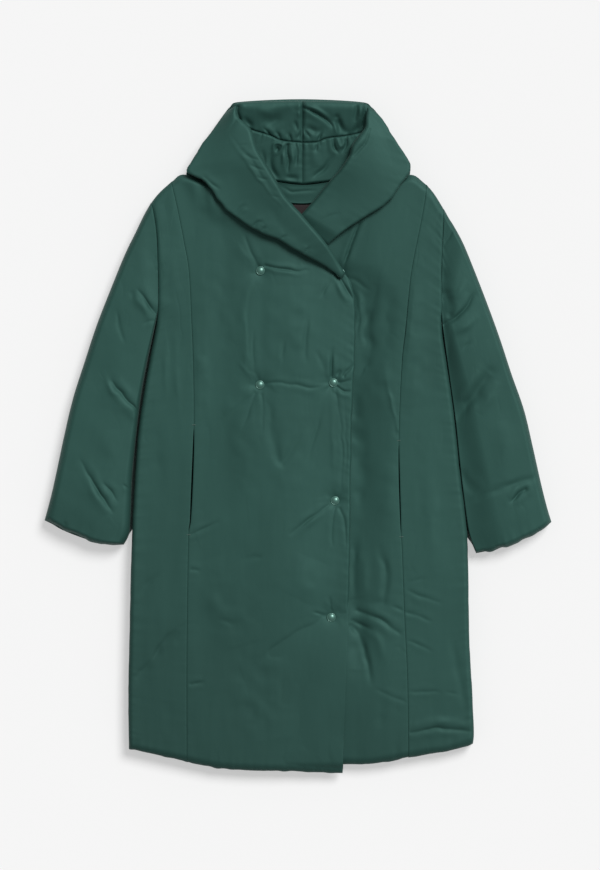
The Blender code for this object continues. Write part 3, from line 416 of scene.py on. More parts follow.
NAPE_FOLDS = (
    (SOFT, 2.2, 2.9, ((-47, 528), (-44, 540), (-35, 543), (-28, 537), (-33, 526), (-41, 520))),
    (SOFT, 3, -3.8, ((-38, 537), (-37, 526))),
    (SOFT, 2.2, 2.2, ((-24, 540), (-16, 543), (-9, 541))),
    (CREASE, 2.4, -4.3, ((-20, 539), (-18, 515), (-17, 489)), 0.8),
    (SOFT, 2.6, 2.2, ((-12, 539), (-10, 526), (-9, 502))),
    (CREASE, 2.4, -3.6, ((-3, 541), (-2, 520), (-3, 500)), 0.8),
    (CREASE, 2.2, -2.9, ((4, 543), (6, 528))),
    (SOFT, 3, 2.4, ((-27, 524), (-29, 502))),
    (SOFT, 5, -4.1, ((-51, 526), (-48, 496), (-35, 474))),
    (SOFT, 5, -2.9, ((-22, 481), (2, 474))),
    (SOFT, 9, 1.9, ((30, 530), (34, 496))),
    (CREASE, 2.6, -4.8, ((65, 550), (69, 533), (76, 524)), 0.7),
    (SOFT, 2.4, 2.6, ((74, 550), (80, 535), (87, 541))),
    (CREASE, 2.6, -4.1, ((91, 554), (91, 539), (84, 526)), 0.7),
    (SOFT, 4, -3.1, ((65, 518), (50, 496), (28, 478))),
    (CREASE, 2.4, -2.4, ((37, 543), (34, 528)), 0.8),
    (SOFT, 4, -2.4, ((-66, 530), (-59, 500))),
)
FACING_FOLDS = (
    (CREASE, 2.2, -1.4, ((-29, 463), (-20, 456), (-12, 452), (8, 454), (34, 456))),
)


def along(table: Curve, shares: np.ndarray) -> Plan:
    """Finds points on a smooth curve.

    Args:
        table: The curve's points, (x, y).
        shares: Where the wanted points lie, as shares of the curve's length.

    Returns:
        One point for each share.
    """
    points = np.array(table, float)
    if len(points) > 2:
        ends = np.vstack([2 * points[0] - points[1], points, 2 * points[-1] - points[-2]])
        steps = np.linspace(0, 1, 12, endpoint=False)[:, None]
        runs = []
        for a, b, c, d in zip(ends, ends[1:], ends[2:], ends[3:]):
            runs.append(0.5 * (2 * b + (c - a) * steps + (2 * a - 5 * b + 4 * c - d) * steps**2
                               + (3 * b - a - 3 * c + d) * steps**3))
        points = np.vstack(runs + [points[-1:]])
    lengths = np.append(0, np.cumsum(np.linalg.norm(np.diff(points, axis=0), axis=1)))
    wanted = np.asarray(shares) * lengths[-1]
    return np.stack([np.interp(wanted, lengths, points[:, axis]) for axis in (0, 1)], axis=1)


def length_of(table: Curve) -> float:
    """Length of a smooth curve."""
    points = along(table, np.linspace(0, 1, 200))
    return float(np.linalg.norm(np.diff(points, axis=0), axis=1).sum())


def grid_shares(length: float, step: float = GRID_STEP) -> np.ndarray:
    """Shares of a side's length at which grid lines lie, closer together at both ends.

    Args:
        length: The side's length.
        step: The distance between lines away from the ends.

    Returns:
        Shares from 0 to 1.
    """
    fine = np.array([0, 0.5, 1.3, 2.4, 4.0])
    start = fine[-1] + step * 0.8
    count = max(int(round((length - 2 * start) / step)) + 1, 2)
    middle = np.linspace(start, length - start, count)
    return np.concatenate([fine, middle, length - fine[::-1]]) / length


def patch(low: Plan, high: Plan, left: Plan, right: Plan, columns: np.ndarray, rows: np.ndarray) -> Plan:
    """Fills the space between four curves with a grid.

    Args:
        low: Points of the lower side, one for each column.
        high: Points of the upper side, one for each column.
        left: Points of the left side, one for each row.
        right: Points of the right side, one for each row.
        columns: Share of each column across.
        rows: Share of each row up.

    Returns:
        Plan points, [column, row].
    """
    s = columns[:, None, None]
    t = rows[None, :, None]
    low, high = low[:, None], high[:, None]
    across = (1 - s) * left[None] + s * right[None]
    up = (1 - t) * low + t * high
    low_corners = (1 - s) * low[:1] + s * low[-1:]
    high_corners = (1 - s) * high[:1] + s * high[-1:]
    return across + up - (1 - t) * low_corners - t * high_corners


def near_line(points: Plan, line: Plan) -> tuple[np.ndarray, np.ndarray, np.ndarray]:
    """Measures how far points lie from a polyline.

    Args:
        points: Plan points.
        line: The polyline's points.

    Returns:
        The distance of each point, the share of the polyline's length where it is nearest, and which side of
        the polyline it lies on: 1 for the right, -1 for the left.
    """
    best = np.full(points.shape[:-1], np.inf)
    place = np.zeros(points.shape[:-1])
    side = np.ones(points.shape[:-1])
    lengths = np.append(0, np.cumsum(np.linalg.norm(np.diff(line, axis=0), axis=1)))
    for k, (a, b) in enumerate(zip(line, line[1:])):
        ab = b - a
        x, y = points[..., 0] - a[0], points[..., 1] - a[1]
        share = np.clip((x * ab[0] + y * ab[1]) / max(ab @ ab, 1e-12), 0, 1)
        away = np.hypot(x - share * ab[0], y - share * ab[1])
        nearer = away < best
        best[nearer] = away[nearer]
        place[nearer] = (lengths[k] + share[nearer] * (lengths[k + 1] - lengths[k])) / lengths[-1]
        side[nearer] = np.where(x * ab[1] > y * ab[0], 1.0, -1.0)[nearer]
    return best, place, side


def fold_heights(points: Plan, table: tuple) -> Heights:
    """Adds up the folds of a table, which stray a little from their lines and vary in height.

    Args:
        points: Plan points.
        table: The folds.

    Returns:
        The height that the folds add at each point.
    """
    total = np.zeros(points.shape[:-1])
    cell = (FOLD_STRAY_CELL, FOLD_STRAY_CELL)
    points = points + np.stack([noise(points, cell, 71), noise(points, cell, 72)], axis=-1) * FOLD_STRAY
    uneven = 1 + FOLD_UNEVEN * noise(points, (FOLD_UNEVEN_CELL, FOLD_UNEVEN_CELL), 73)
    for kind, width, rise, table_points, *start in table:
        reach = width * 7
        corners = np.array(table_points, float)
        low, high = corners.min(axis=0) - reach, corners.max(axis=0) + reach
        inside = np.all((points > low) & (points < high), axis=-1)
        if not inside.any():
            continue
        line = along(table_points, np.linspace(0, 1, 9 + 4 * len(table_points)))
        away, place, side = near_line(points[inside], line)
        taper = 0.12 + 0.88 * np.sin(np.pi * np.clip(place, 0.01, 0.99)) ** 0.8
        if start:
            taper = np.maximum(taper, start[0] * (1 - place))
        section = np.exp(-(away / width) ** 2)
        if kind is FoldKind.STEEP:
            section = np.where(side > 0, section, np.exp(-(away / (2.6 * width)) ** 2))
        if kind is FoldKind.CREASE:
            section = np.exp(-(away / (0.75 * width)) ** 1.5)
            section -= 0.3 * np.exp(-((away - 2.6 * width) / (2.0 * width)) ** 2)
        total[inside] += rise * taper * section
    return total * uneven


def noise(points: Plan, cell: tuple[float, float], seed: int) -> np.ndarray:
    """Smooth noise from about -1 to 1.

    Args:
        points: Plan points.
        cell: How far apart its bumps are, across and up.
        seed: Which noise.

    Returns:
        One value for each point.
    """
    table = np.random.default_rng(seed).uniform(-1, 1, (64, 64))
    u = points[..., 0] / cell[0] + 500
    v = points[..., 1] / cell[1] + 500
    i, j = np.floor(u).astype(int), np.floor(v).astype(int)
    a, b = u - i, v - j
    a = a * a * a * (a * (6 * a - 15) + 10)
    b = b * b * b * (b * (6 * b - 15) + 10)
    corner = [[table[(i + di) % 64, (j + dj) % 64] for dj in (0, 1)] for di in (0, 1)]
    low = corner[0][0] * (1 - a) + corner[1][0] * a
    high = corner[0][1] * (1 - a) + corner[1][1] * a
    return low * (1 - b) + high * b


def crinkles(points: Plan, cell: float, seed: int) -> np.ndarray:
    """Short pressed lines in irregular directions, from 0 to 1.

    Args:
        points: Plan points.
        cell: About how far apart they are.
        seed: Which set.

    Returns:
        One value for each point.
    """
    bent = points + np.stack([noise(points, (cell, cell), seed + 50), noise(points, (cell, cell), seed + 51)],
                             axis=-1) * 0.45 * cell
    line = np.clip(1 - 3.4 * np.abs(noise(bent, (cell, 2.8 * cell), seed)), 0, 1) ** 1.5
    return line * smooth_step(noise(points, (1.4 * cell, 2.6 * cell), seed + 52), 0.05, 0.6)


def smooth_step(value: np.ndarray, low: float, high: float) -> np.ndarray:
    """A share that eases from 0 at low to 1 at high."""
    share = np.clip((np.asarray(value, float) - low) / (high - low), 0, 1)
    return share * share * (3 - 2 * share)


def blurred(values: Heights, passes: int) -> Heights:
    """Evens out a grid of values by averaging with the neighbours.

    Args:
        values: The grid.
        passes: How many times.

    Returns:
        The evened grid.
    """
    for _ in range(passes):
        wide = np.pad(values, 1, mode="edge")
        values = (wide[:-2, 1:-1] + wide[2:, 1:-1] + wide[1:-1, :-2] + wide[1:-1, 2:] + 4 * values) / 8
    return values


@dataclass(frozen=True)
class Edge:
    """How the padding ends at one side of a panel."""

    height: float  # how high the top stands at the edge, above the panel's base
    reach: float  # width of the round
    form: Round = Round.SEAM  # the round's shape
    lift: float = 0.0  # how far the underside rises at the edge
    lift_reach: float = 14.0  # width of that rise
    pucker: float = 0.0  # height of the puckers
    pucker_length: float = 22.0  # distance between them
    wave: float = 0.0  # how far the edge wanders in plan
    overhang: float = 0.0  # how far the top stands out over the seam line
    upper: "Edge | None" = None  # how it ends further up instead
    change: tuple = (190.0, 240.0)  # between which two y it changes over to that

    def share(self, away: np.ndarray, y: np.ndarray, thickness: float) -> np.ndarray:
        """Share of the full thickness.

        Args:
            away: Distance of each point from the edge.
            y: How far up each point lies.
            thickness: The full thickness.

        Returns:
            One share for each point.
        """
        low = self.height / thickness
        share = low + (1 - low) * self.rise(away)
        if self.upper is not None:
            above = smooth_step(y, *self.change)
            share = (1 - above) * share + above * self.upper.share(away, y, thickness)
        return share

    def rise(self, away: np.ndarray) -> np.ndarray:
        """How far the round has risen.

        Args:
            away: Distances from the edge.

        Returns:
            Shares of the way from the edge's height to the full thickness.
        """
        share = np.clip(away / self.reach, 0, 1)
        if self.form is Round.BOLSTER:
            return np.sqrt(1 - (1 - share) ** 2)
        return share * (2 - share)

    def puckers(self, away: np.ndarray, arc: np.ndarray, seed: int) -> np.ndarray:
        """Height of the puckers.

        Args:
            away: Distance of each point from the edge.
            arc: Place of each point along the edge.
            seed: Which set of puckers.

        Returns:
            One height for each point.
        """
        random = np.random.default_rng(seed)
        total = np.zeros(away.shape)
        for _ in range(6):
            length = self.pucker_length * random.uniform(0.55, 1.9)
            phase, turn = random.uniform(0, 2 * math.pi, 2)
            strength = 0.6 + 0.4 * np.sin(2 * math.pi * arc / (length * 4.3) + turn)
            drift = 0.8 * np.sin(2 * math.pi * arc / (length * 2.7))
            swing = np.sin(2 * math.pi * arc / length + phase + drift)
            total += swing * strength * np.exp(-away / (0.75 * length))
        return self.pucker * total / 2.2


@dataclass
class Stack:
    """What is already laid down, and how high it stands."""

    trees: list = field(default_factory=list)  # each piece's search tree and its box's two corners

    def add(self, piece: bpy.types.Object) -> None:
        """Adds a finished piece.

        Args:
            piece: The piece.
        """
        mesh = piece.data
        mesh.calc_loop_triangles()
        points = [vertex.co.copy() for vertex in mesh.vertices]
        faces = [tuple(triangle.vertices) for triangle in mesh.loop_triangles]
        low = [min(point[axis] for point in points) for axis in (0, 1)]
        high = [max(point[axis] for point in points) for axis in (0, 1)]
        self.trees.append((BVHTree.FromPolygons(points, faces), low, high))

    def height(self, x: float, y: float) -> float:
        """Looks down on what is laid.

        Args:
            x: Across the coat.
            y: Up the coat.

        Returns:
            Height of the highest surface there, or 0.
        """
        best = 0.0
        for tree, low, high in self.trees:
            if low[0] * 1000 <= x <= high[0] * 1000 and low[1] * 1000 <= y <= high[1] * 1000:
                hit = tree.ray_cast((x * MM, y * MM, 1.0), (0, 0, -1))[0]
                if hit is not None:
                    best = max(best, hit.z / MM)
        return best

    def heights(self, points: Plan) -> Heights:
        """Height of the highest surface at each plan point, or 0."""
        flat = points.reshape(-1, 2)
        return np.array([self.height(float(x), float(y)) for x, y in flat]).reshape(points.shape[:-1])


class Shader:
    """A short way to write a material's nodes."""

    def __init__(self, name: str) -> None:
        """Starts a material with its Principled shader.

        Args:
            name: The material's name.
        """
        self.material = bpy.data.materials.new(name)
        self.material.use_nodes = True
        self.nodes = self.material.node_tree.nodes
        self.links = self.material.node_tree.links
        self.principled = self.nodes["Principled BSDF"]
        self.place = self.node("ShaderNodeTexCoord").outputs

    def fill(self, node: bpy.types.Node, inputs: dict) -> None:
        """Sets a node's inputs.

        Args:
            node: The node.
            inputs: Values, or sockets to link, by the input's name or number.
        """
        for name, value in inputs.items():
            socket = node.inputs[name]
            if isinstance(value, bpy.types.NodeSocket):
                self.links.new(value, socket)
            else:
                socket.default_value = value

    def node(self, kind: str, inputs: dict | None = None, **settings: object) -> bpy.types.Node:
        """Adds a node.

        Args:
            kind: The node's type.
            inputs: Values, or sockets to link, by the input's name or number.
            **settings: Properties of the node.

        Returns:
            The new node.
        """
        made = self.nodes.new(kind)
        for name, value in settings.items():
            setattr(made, name, value)
        self.fill(made, inputs or {})
        return made

    def set(self, **values: object) -> None:
        """Sets or links the Principled shader's inputs, named with _ for a space."""
        self.fill(self.principled, {name.replace("_", " "): value for name, value in values.items()})

    def ramp(self, pattern: bpy.types.NodeSocket, deep: tuple, light: tuple,
             ends: tuple = (0.0, 1.0)) -> bpy.types.NodeSocket:
        """Colours a pattern.

        Args:
            pattern: The pattern, from 0 to 1.
            deep: The colour where it is low.
            light: The colour where it is high.
            ends: Where it counts as low and as high.

        Returns:
            The colour.
        """
        made = self.node("ShaderNodeValToRGB", {"Fac": pattern})
        for element, position, colour in zip(made.color_ramp.elements, ends, (deep, light)):
            element.position = position
            element.color = (*colour, 1)
        return made.outputs["Color"]

    def bump(self, pattern: bpy.types.NodeSocket, strength: float, distance: float,
             **under: bpy.types.NodeSocket) -> bpy.types.NodeSocket:
        """Roughens the surface with a pattern.

        Args:
            pattern: The pattern.
            strength: How strongly it shows.
            distance: How high it stands, in metres.
            **under: A finer bump under it, as Normal.

        Returns:
            The normal.
        """
        inputs = {"Height": pattern, "Strength": strength, "Distance": distance, **under}
        return self.node("ShaderNodeBump", inputs).outputs["Normal"]

    def weave(self, thread: float, crossing: str) -> bpy.types.NodeSocket:
        """Warp and weft over the cloth's own map.

        Args:
            thread: Width of a thread, in metres.
            crossing: How the two are joined.

        Returns:
            The pattern.
        """
        inputs = {"Vector": self.place["UV"], "Scale": 2 * math.pi / 20 / thread}
        warp, weft = (self.node("ShaderNodeTexWave", inputs, bands_direction=way) for way in ("X", "Y"))
        inputs = {0: warp.outputs["Fac"], 1: weft.outputs["Fac"]}
        return self.node("ShaderNodeMath", inputs, operation=crossing).outputs[0]

    def speckle(self, scale: float) -> bpy.types.NodeSocket:
        """Soft spots over the piece, of this many a metre."""
        inputs = {"Vector": self.place["Object"], "Scale": scale, "Detail": 2.0}
        return self.node("ShaderNodeTexNoise", inputs).outputs["Fac"]


@dataclass(frozen=True)
class ShellCloth:
    """Smooth satin-faced woven cloth of the shell."""

    name: str = "shell_cloth"
    deep: tuple = (0.0118, 0.0400, 0.0330)  # its deepest colour
    light: tuple = (0.0136, 0.0452, 0.0374)  # its lightest colour
    shine: tuple = (0.50, 1.0, 0.88, 1.0)
    roughness: float = 0.66
    shade_slant: float = 0.5  # how far the painted shade, darker towards the lower left, leans across the coat
    shade_heights: tuple = (-0.72, -0.12)  # between which heights up the coat the painted shade eases off, in metres
    shade_levels: tuple = (0.72, 1.07)  # how light the cloth is painted at both: darker at the hem as if in shade, a little lighter at the shoulders
    thread: float = 0.0007  # width of a thread, in metres

    def tone(self, shader: Shader) -> bpy.types.NodeSocket:
        """The cloth's colour, with a slow random drift and painted shade that darkens it down the coat and
        towards the lower left.

        Args:
            shader: The material's nodes.

        Returns:
            The colour.
        """
        drift = shader.ramp(shader.speckle(6.0), self.deep, self.light, (0.35, 0.65))
        # Painted shade: the colour is darkened towards the hem and the lower left, as if less light fell
        # there.
        up = shader.node("ShaderNodeVectorMath", {0: shader.place["Object"], 1: (self.shade_slant, 1.0, 0.0)},
                         operation="DOT_PRODUCT")
        painted_shade = shader.node("ShaderNodeMapRange", {"Value": up.outputs["Value"], "From Min": self.shade_heights[0],
                                                    "From Max": self.shade_heights[1], "To Min": self.shade_levels[0],
                                                    "To Max": self.shade_levels[1]}, interpolation_type="SMOOTHSTEP")
        return shader.node("ShaderNodeVectorMath", {0: drift, "Scale": painted_shade.outputs["Result"]},
                           operation="SCALE").outputs["Vector"]

    def material(self) -> bpy.types.Material:
        """Makes the cloth: fine weave, faint streaks along the grain, slow colour drift and painted shade
        towards the hem and the lower left.

        Returns:
            The material.
        """
        shader = Shader(self.name)
        drawn = shader.node("ShaderNodeMapping", {"Vector": shader.place["UV"], "Scale": (1.0, 0.22, 1.0)})
        streaks = shader.node("ShaderNodeTexNoise", {"Vector": drawn.outputs[0], "Scale": 110.0,
                                                     "Detail": 2.0, "Roughness": 0.5}).outputs["Fac"]
        fine = shader.bump(shader.weave(self.thread, "MAXIMUM"), 0.1, 0.0002)
        gloss = shader.node("ShaderNodeMapRange", {"Value": streaks, "From Min": 0.3, "From Max": 0.7,
                                                   "To Min": self.roughness - 0.02,
                                                   "To Max": self.roughness + 0.02})
        shader.set(Base_Color=self.tone(shader), Roughness=gloss.outputs["Result"],
                   Normal=shader.bump(streaks, 0.06, 0.0012, Normal=fine), Specular_IOR_Level=0.5,
                   Specular_Tint=self.shine, Sheen_Weight=0.05, Sheen_Roughness=0.35,
                   Sheen_Tint=(0.8, 1.0, 0.93, 1.0))
        return shader.material


@dataclass(frozen=True)
class LiningCloth:
    """Plain matt woven lining."""

    name: str = "lining_cloth"
    deep: tuple = (0.022, 0.0165, 0.017)
    light: tuple = (0.034, 0.0255, 0.0265)
    thread: float = 0.0008

    def material(self) -> bpy.types.Material:
        """Makes the lining: a plain weave in two dark browns.

        Returns:
            The material.
        """
        shader = Shader(self.name)
        weave = shader.weave(self.thread, "MULTIPLY")
        shader.set(Base_Color=shader.ramp(weave, self.deep, self.light), Roughness=0.75,
                   Normal=shader.bump(weave, 0.3, 0.0003), Specular_IOR_Level=0.15)
        return shader.material


@dataclass(frozen=True)
class CapEnamel:
    """Green enamel over the metal of a snap cap."""

    name: str = "cap_enamel"
    deep: tuple = (0.050, 0.150, 0.120)
    light: tuple = (0.070, 0.190, 0.155)

    def material(self) -> bpy.types.Material:
        """Makes the enamel: glossy, with a little unevenness and finer speckle.

        Returns:
            The material.
        """
        shader = Shader(self.name)
        speckle = shader.speckle(900.0)
        shader.set(Base_Color=shader.ramp(speckle, self.deep, self.light), Roughness=0.42, Metallic=0.6,
                   Normal=shader.bump(speckle, 0.05, 0.0002), Coat_Weight=0.8, Coat_Roughness=0.3)
        return shader.material


@dataclass(frozen=True)
class Thread:
    """Sewing thread of the bar tacks."""

    name: str = "tack_thread"
    deep: tuple = (0.0168, 0.0476, 0.0385)
    light: tuple = (0.0312, 0.0884, 0.0715)

    def material(self) -> bpy.types.Material:
        """Makes the thread: twisted strands in the shell's green.

        Returns:
            The material.
        """
        shader = Shader(self.name)
        twist = shader.node("ShaderNodeTexWave", {"Vector": shader.place["Object"], "Scale": 700.0},
                            bands_direction="DIAGONAL").outputs["Fac"]
        shader.set(Base_Color=shader.ramp(twist, self.deep, self.light), Roughness=0.5,
                   Normal=shader.bump(twist, 0.4, 0.0002), Sheen_Weight=0.15)
        return shader.material


@dataclass(frozen=True)
class Finishes:
    """The coat's materials, each made once."""

    shell: bpy.types.Material
    lining: bpy.types.Material
    cap: bpy.types.Material
    thread: bpy.types.Material

    @classmethod
    def make(cls) -> "Finishes":
        """Makes all of them."""
        return cls(*(finish().material() for finish in (ShellCloth, LiningCloth, CapEnamel, Thread)))


def cloth_object(name: str, points: np.ndarray, faces: list, flat: Plan, grain: float,
                 material: bpy.types.Material) -> bpy.types.Object:
    """Makes a mesh object, with a UV map in metres that follows the cloth's grain.

    Args:
        name: The object's name.
        points: Its points, in millimetres.
        faces: Its faces, as rows of point numbers.
        flat: Where each point lies on the flat cloth, in millimetres.
        grain: Angle of the grain, in degrees from up the coat.
        material: Its material.

    Returns:
        The new object.
    """
    mesh = bpy.data.meshes.new(name)
    mesh.from_pydata((points * MM).tolist(), [], faces)
    turn = math.radians(grain)
    uv = flat @ np.array([[math.cos(turn), -math.sin(turn)], [math.sin(turn), math.cos(turn)]]) * MM
    layer = mesh.uv_layers.new(name="cloth")
    corners = np.empty(len(mesh.loops), np.int32)
    mesh.loops.foreach_get("vertex_index", corners)
    layer.data.foreach_set("uv", uv[corners].astype(np.float32).ravel())
    mesh.materials.append(material)
    mesh.shade_smooth()
    mesh.update()
    made = bpy.data.objects.new(name, mesh)
    bpy.context.scene.collection.objects.link(made)
    return made


def grid_quads(index: np.ndarray) -> list:
    """The faces of a grid of point numbers, seen from above."""
    quads = np.stack([index[:-1, :-1], index[1:, :-1], index[1:, 1:], index[:-1, 1:]], axis=-1)
    return quads.reshape(-1, 4).tolist()


def around_grid(values: np.ndarray) -> np.ndarray:
    """The values at a grid's edge, once round."""
    return np.concatenate([values[:-1, 0], values[-1, :-1], values[:0:-1, -1], values[0, :0:-1]])


def sparse(count: int, step: int) -> np.ndarray:
    """Every number below a count that is a whole number of steps, with the last one."""
    return np.unique(np.append(np.arange(0, count, step), count - 1))


def pad_mesh(top: np.ndarray, lip: np.ndarray, bottom: np.ndarray,
             coarse: int) -> tuple[np.ndarray, np.ndarray, list]:
    """Closes a pad: a fine top, a rim under it and a coarser underside.

    Args:
        top: The top's points, [column, row].
        lip: Where the rim stands, all round, as a grid of the same size.
        bottom: The underside's points, as a grid of the same size.
        coarse: How many of the top's grid steps make one of the underside's.

    Returns:
        The points, the number of the top's point that each one belongs to, and the faces.
    """
    columns, rows = top.shape[:2]
    index = np.arange(columns * rows).reshape(columns, rows)
    outer = around_grid(index)
    rim = np.arange(len(outer)) + index.size
    after, rim_after = np.roll(outer, -1), np.roll(rim, -1)
    faces = grid_quads(index) + np.stack([outer, rim, rim_after, after], axis=-1).tolist()
    some_columns, some_rows = sparse(columns, coarse), sparse(rows, coarse)
    picked = index[np.ix_(some_columns, some_rows)]
    under = np.arange(picked.size).reshape(picked.shape) + index.size + len(outer)
    faces += [face[::-1] for face in grid_quads(under)]
    below = dict(zip(picked.ravel().tolist(), under.ravel().tolist()))
    stops = [k for k, number in enumerate(outer.tolist()) if number in below]
    for start, stop in zip(stops, stops[1:] + [stops[0] + len(outer)]):
        run = [int(rim[k % len(outer)]) for k in range(start, stop + 1)]
        faces.append([run[0], below[int(outer[start])], below[int(outer[stop % len(outer)])], *run[:0:-1]])
    owners = np.concatenate([index.ravel(), outer, picked.ravel()])
    layers = [top.reshape(-1, 3), lip.reshape(-1, 3)[outer], bottom.reshape(-1, 3)[picked.ravel()]]
    return np.concatenate(layers), owners, faces


def spread_maximum(values: Heights, reach: int) -> Heights:
    """Widens the high places of a grid.

    Args:
        values: The grid.
        reach: By how many steps.

    Returns:
        The highest value within that many steps of each point.
    """
    for _ in range(reach):
        wide = np.pad(values, 1, mode="edge")
        values = np.maximum.reduce([values, wide[:-2, 1:-1], wide[2:, 1:-1], wide[1:-1, :-2], wide[1:-1, 2:]])
    return values


def spanned(values: Heights) -> Heights:
    """Bridges the hollows of a grid of heights, first across each row and then along each column.

    Args:
        values: The heights.

    Returns:
        Heights that have no hollow, as of a cloth drawn tight over them.
    """
    level = values.copy()
    for _ in range(2):
        for step in 4 * (96, 48, 24, 12, 6, 3, 2, 1):
            if len(level) > 2 * step:
                middle = 0.5 * (level[:-2 * step] + level[2 * step:])
                level[step:-step] = np.maximum(level[step:-step], middle)
        level = level.T
    return level


@dataclass(frozen=True)
class Cut:
    """The flat size of a panel of cloth before it is sewn, in metres."""

    width: float  # across, where it is widest; all round on a tube
    length: float  # along, where it is longest
    area: float  # its flat area

    @classmethod
    def of_grid(cls, grid: np.ndarray, room: float = 0.0) -> "Cut":
        """Measures a grid of points that lie on the cloth.

        Args:
            grid: Points, [across, along], in millimetres.
            room: What each of its sides is cut larger by, to go round the padding's edge.

        Returns:
            The cut.
        """
        across = np.linalg.norm(np.diff(grid, axis=0), axis=-1).sum(axis=0)
        along_it = np.linalg.norm(np.diff(grid, axis=1), axis=-1).sum(axis=1)
        first, second = grid[1:, 1:] - grid[:-1, :-1], grid[1:, :-1] - grid[:-1, 1:]
        flat = np.zeros((*first.shape[:-1], 3 - first.shape[-1]))
        quads = np.cross(np.concatenate([first, flat], axis=-1), np.concatenate([second, flat], axis=-1))
        area = np.linalg.norm(quads, axis=-1).sum() / 2
        area += room * (across[0] + across[-1] + along_it[0] + along_it[-1])
        return cls((across.max() + 2 * room) * MM, (along_it.max() + 2 * room) * MM, area * MM**2)


def four(left: object, right: object, low: object, high: object) -> dict:
    """What belongs to a panel's four sides, by side."""
    return {Side.LEFT: left, Side.RIGHT: right, Side.LOW: low, Side.HIGH: high}


@dataclass
class Panel:
    """One sewn panel of padded cloth, laid on what is beneath it."""

    node: str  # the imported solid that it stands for
    sides: dict  # the four curves of its outline
    edges: dict  # how its padding ends at each side
    thickness: float  # its padding
    base: float = REST  # the height that it rests at
    folds: tuple = ()  # its folds
    seed: int = 1  # which noise its unevenness comes from
    grain: float = 0.0  # angle of its grain
    columns: np.ndarray | None = None  # share of each grid column across, worked out if it isn't given
    rows: np.ndarray | None = None  # share of each grid row up, worked out too
    step: float = GRID_STEP  # distance between grid lines
    unevenness: float = 1.0  # how uneven its top is
    gaps: dict = field(default_factory=dict)  # the gap at a side, where it isn't half a seam's
    coarse: int = 4  # how many grid steps make one of the underside's
    crinkle: float = 0.3  # how much it crinkles
    lip: float = 2.5  # how far below the top its rim stands
    climb: float = 0.0  # how much thicker it is at its last row than at its first
    grid: Plan | None = None  # its grid, once it is laid out
    measures: dict | None = None  # what measured() finds

    def plan(self) -> Plan:
        """Lays out the grid between the four sides.

        Returns:
            Plan points, [column, row].
        """
        sides = self.sides
        if self.columns is None:
            width = max(length_of(sides[Side.LOW]), length_of(sides[Side.HIGH]))
            self.columns = grid_shares(width, self.step)
        if self.rows is None:
            self.rows = grid_shares(max(length_of(sides[Side.LEFT]), length_of(sides[Side.RIGHT])), self.step)
        low, high = along(sides[Side.LOW], self.columns), along(sides[Side.HIGH], self.columns)
        left, right = (side if isinstance(side, np.ndarray) else along(side, self.rows)
                       for side in (sides[Side.LEFT], sides[Side.RIGHT]))
        return patch(low, high, left, right, self.columns, self.rows)

    def cut(self) -> Cut:
        """The panel's flat size, with the room that its padding takes at the edges."""
        return Cut.of_grid(self.plan(), self.thickness / 2)

    def measured(self) -> dict:
        """Measures the grid from each side.

        Returns:
            By side, how far each point is from it and its place along it.
        """
        found = {}
        for side, line in four(self.grid[0], self.grid[-1], self.grid[:, 0], self.grid[:, -1]).items():
            away = near_line(self.grid, line[sparse(len(line), 4)])[0]
            arc = np.append(0, np.cumsum(np.linalg.norm(np.diff(line, axis=0), axis=1)))
            arc = arc[None, :] if side in (Side.LEFT, Side.RIGHT) else arc[:, None]
            found[side] = (away, np.broadcast_to(arc, away.shape))
        return found

    def drawn_in(self) -> Plan:
        """Moves the sides in by their gaps, wandering where an edge does.

        Returns:
            The moved grid.
        """
        moved = self.grid.copy()
        for side, line, inner, axis in (
            (Side.LEFT, self.grid[0], self.grid[1], 0),
            (Side.RIGHT, self.grid[-1], self.grid[-2], 0),
            (Side.LOW, self.grid[:, 0], self.grid[:, 1], 1),
            (Side.HIGH, self.grid[:, -1], self.grid[:, -2], 1),
        ):
            tangent = np.gradient(line, axis=0)
            normal = np.stack([-tangent[:, 1], tangent[:, 0]], axis=1)
            normal /= np.linalg.norm(normal, axis=1)[:, None]
            normal *= np.sign(np.sum(normal * (inner - line), axis=1))[:, None]
            away, arc = self.measures[side]
            amount = np.broadcast_to(self.gaps.get(side, SEAM_GAP / 2), len(line)).astype(float)
            edge = self.edges[side]
            if edge.wave:
                along_it = arc[0] if side in (Side.LEFT, Side.RIGHT) else arc[:, 0]
                places = np.stack([along_it, np.zeros_like(along_it)], axis=1)
                amount = amount + edge.wave * (1 + noise(places, (14, 14), self.seed + 40)
                                               + 0.6 * noise(places, (33, 33), self.seed + 41)) / 2
            push = normal * amount[:, None]
            push = push[None] if axis == 0 else push[:, None]
            moved += push * np.exp(-away / SEAM_PULL)[..., None]
        return moved

    def hung_over(self, drawn: Plan) -> Plan:
        """Moves the top out over the seam where an edge has an overhang.

        Args:
            drawn: The grid with its sides moved in.

        Returns:
            The top's plan.
        """
        over = drawn.copy()
        for side, column, inner in ((Side.LEFT, 0, 1), (Side.RIGHT, -1, -2)):
            edge = self.edges[side]
            amount = edge.overhang
            if edge.upper is not None:
                above = smooth_step(self.grid[column, :, 1], *edge.change)
                amount = (1 - above) * amount + above * edge.upper.overhang
            outwards = drawn[column] - drawn[inner]
            outwards /= np.linalg.norm(outwards, axis=-1)[:, None]
            over[column] += outwards * np.broadcast_to(amount, outwards.shape[:1])[:, None]
        return over

    def cushion(self) -> Heights:
        """Rounds the padding off towards all four sides.

        Returns:
            Share of the full thickness at each point.
        """
        share = np.ones(self.measures[Side.LEFT][0].shape)
        for side, (away, _) in self.measures.items():
            share = share * self.edges[side].share(away, self.grid[..., 1], self.thickness)
        return share

    def underside(self) -> Heights:
        """Lifts the underside towards the outer edges.

        Returns:
            How far it rises at each point.
        """
        rise = np.zeros(self.measures[Side.LEFT][0].shape)
        for side, (away, _) in self.measures.items():
            edge = self.edges[side]
            if edge.lift:
                out = 1 - np.clip(away / edge.lift_reach, 0, 1)
                rise = np.maximum(rise, edge.lift * (1 - np.sqrt(1 - out**2)))
        return rise

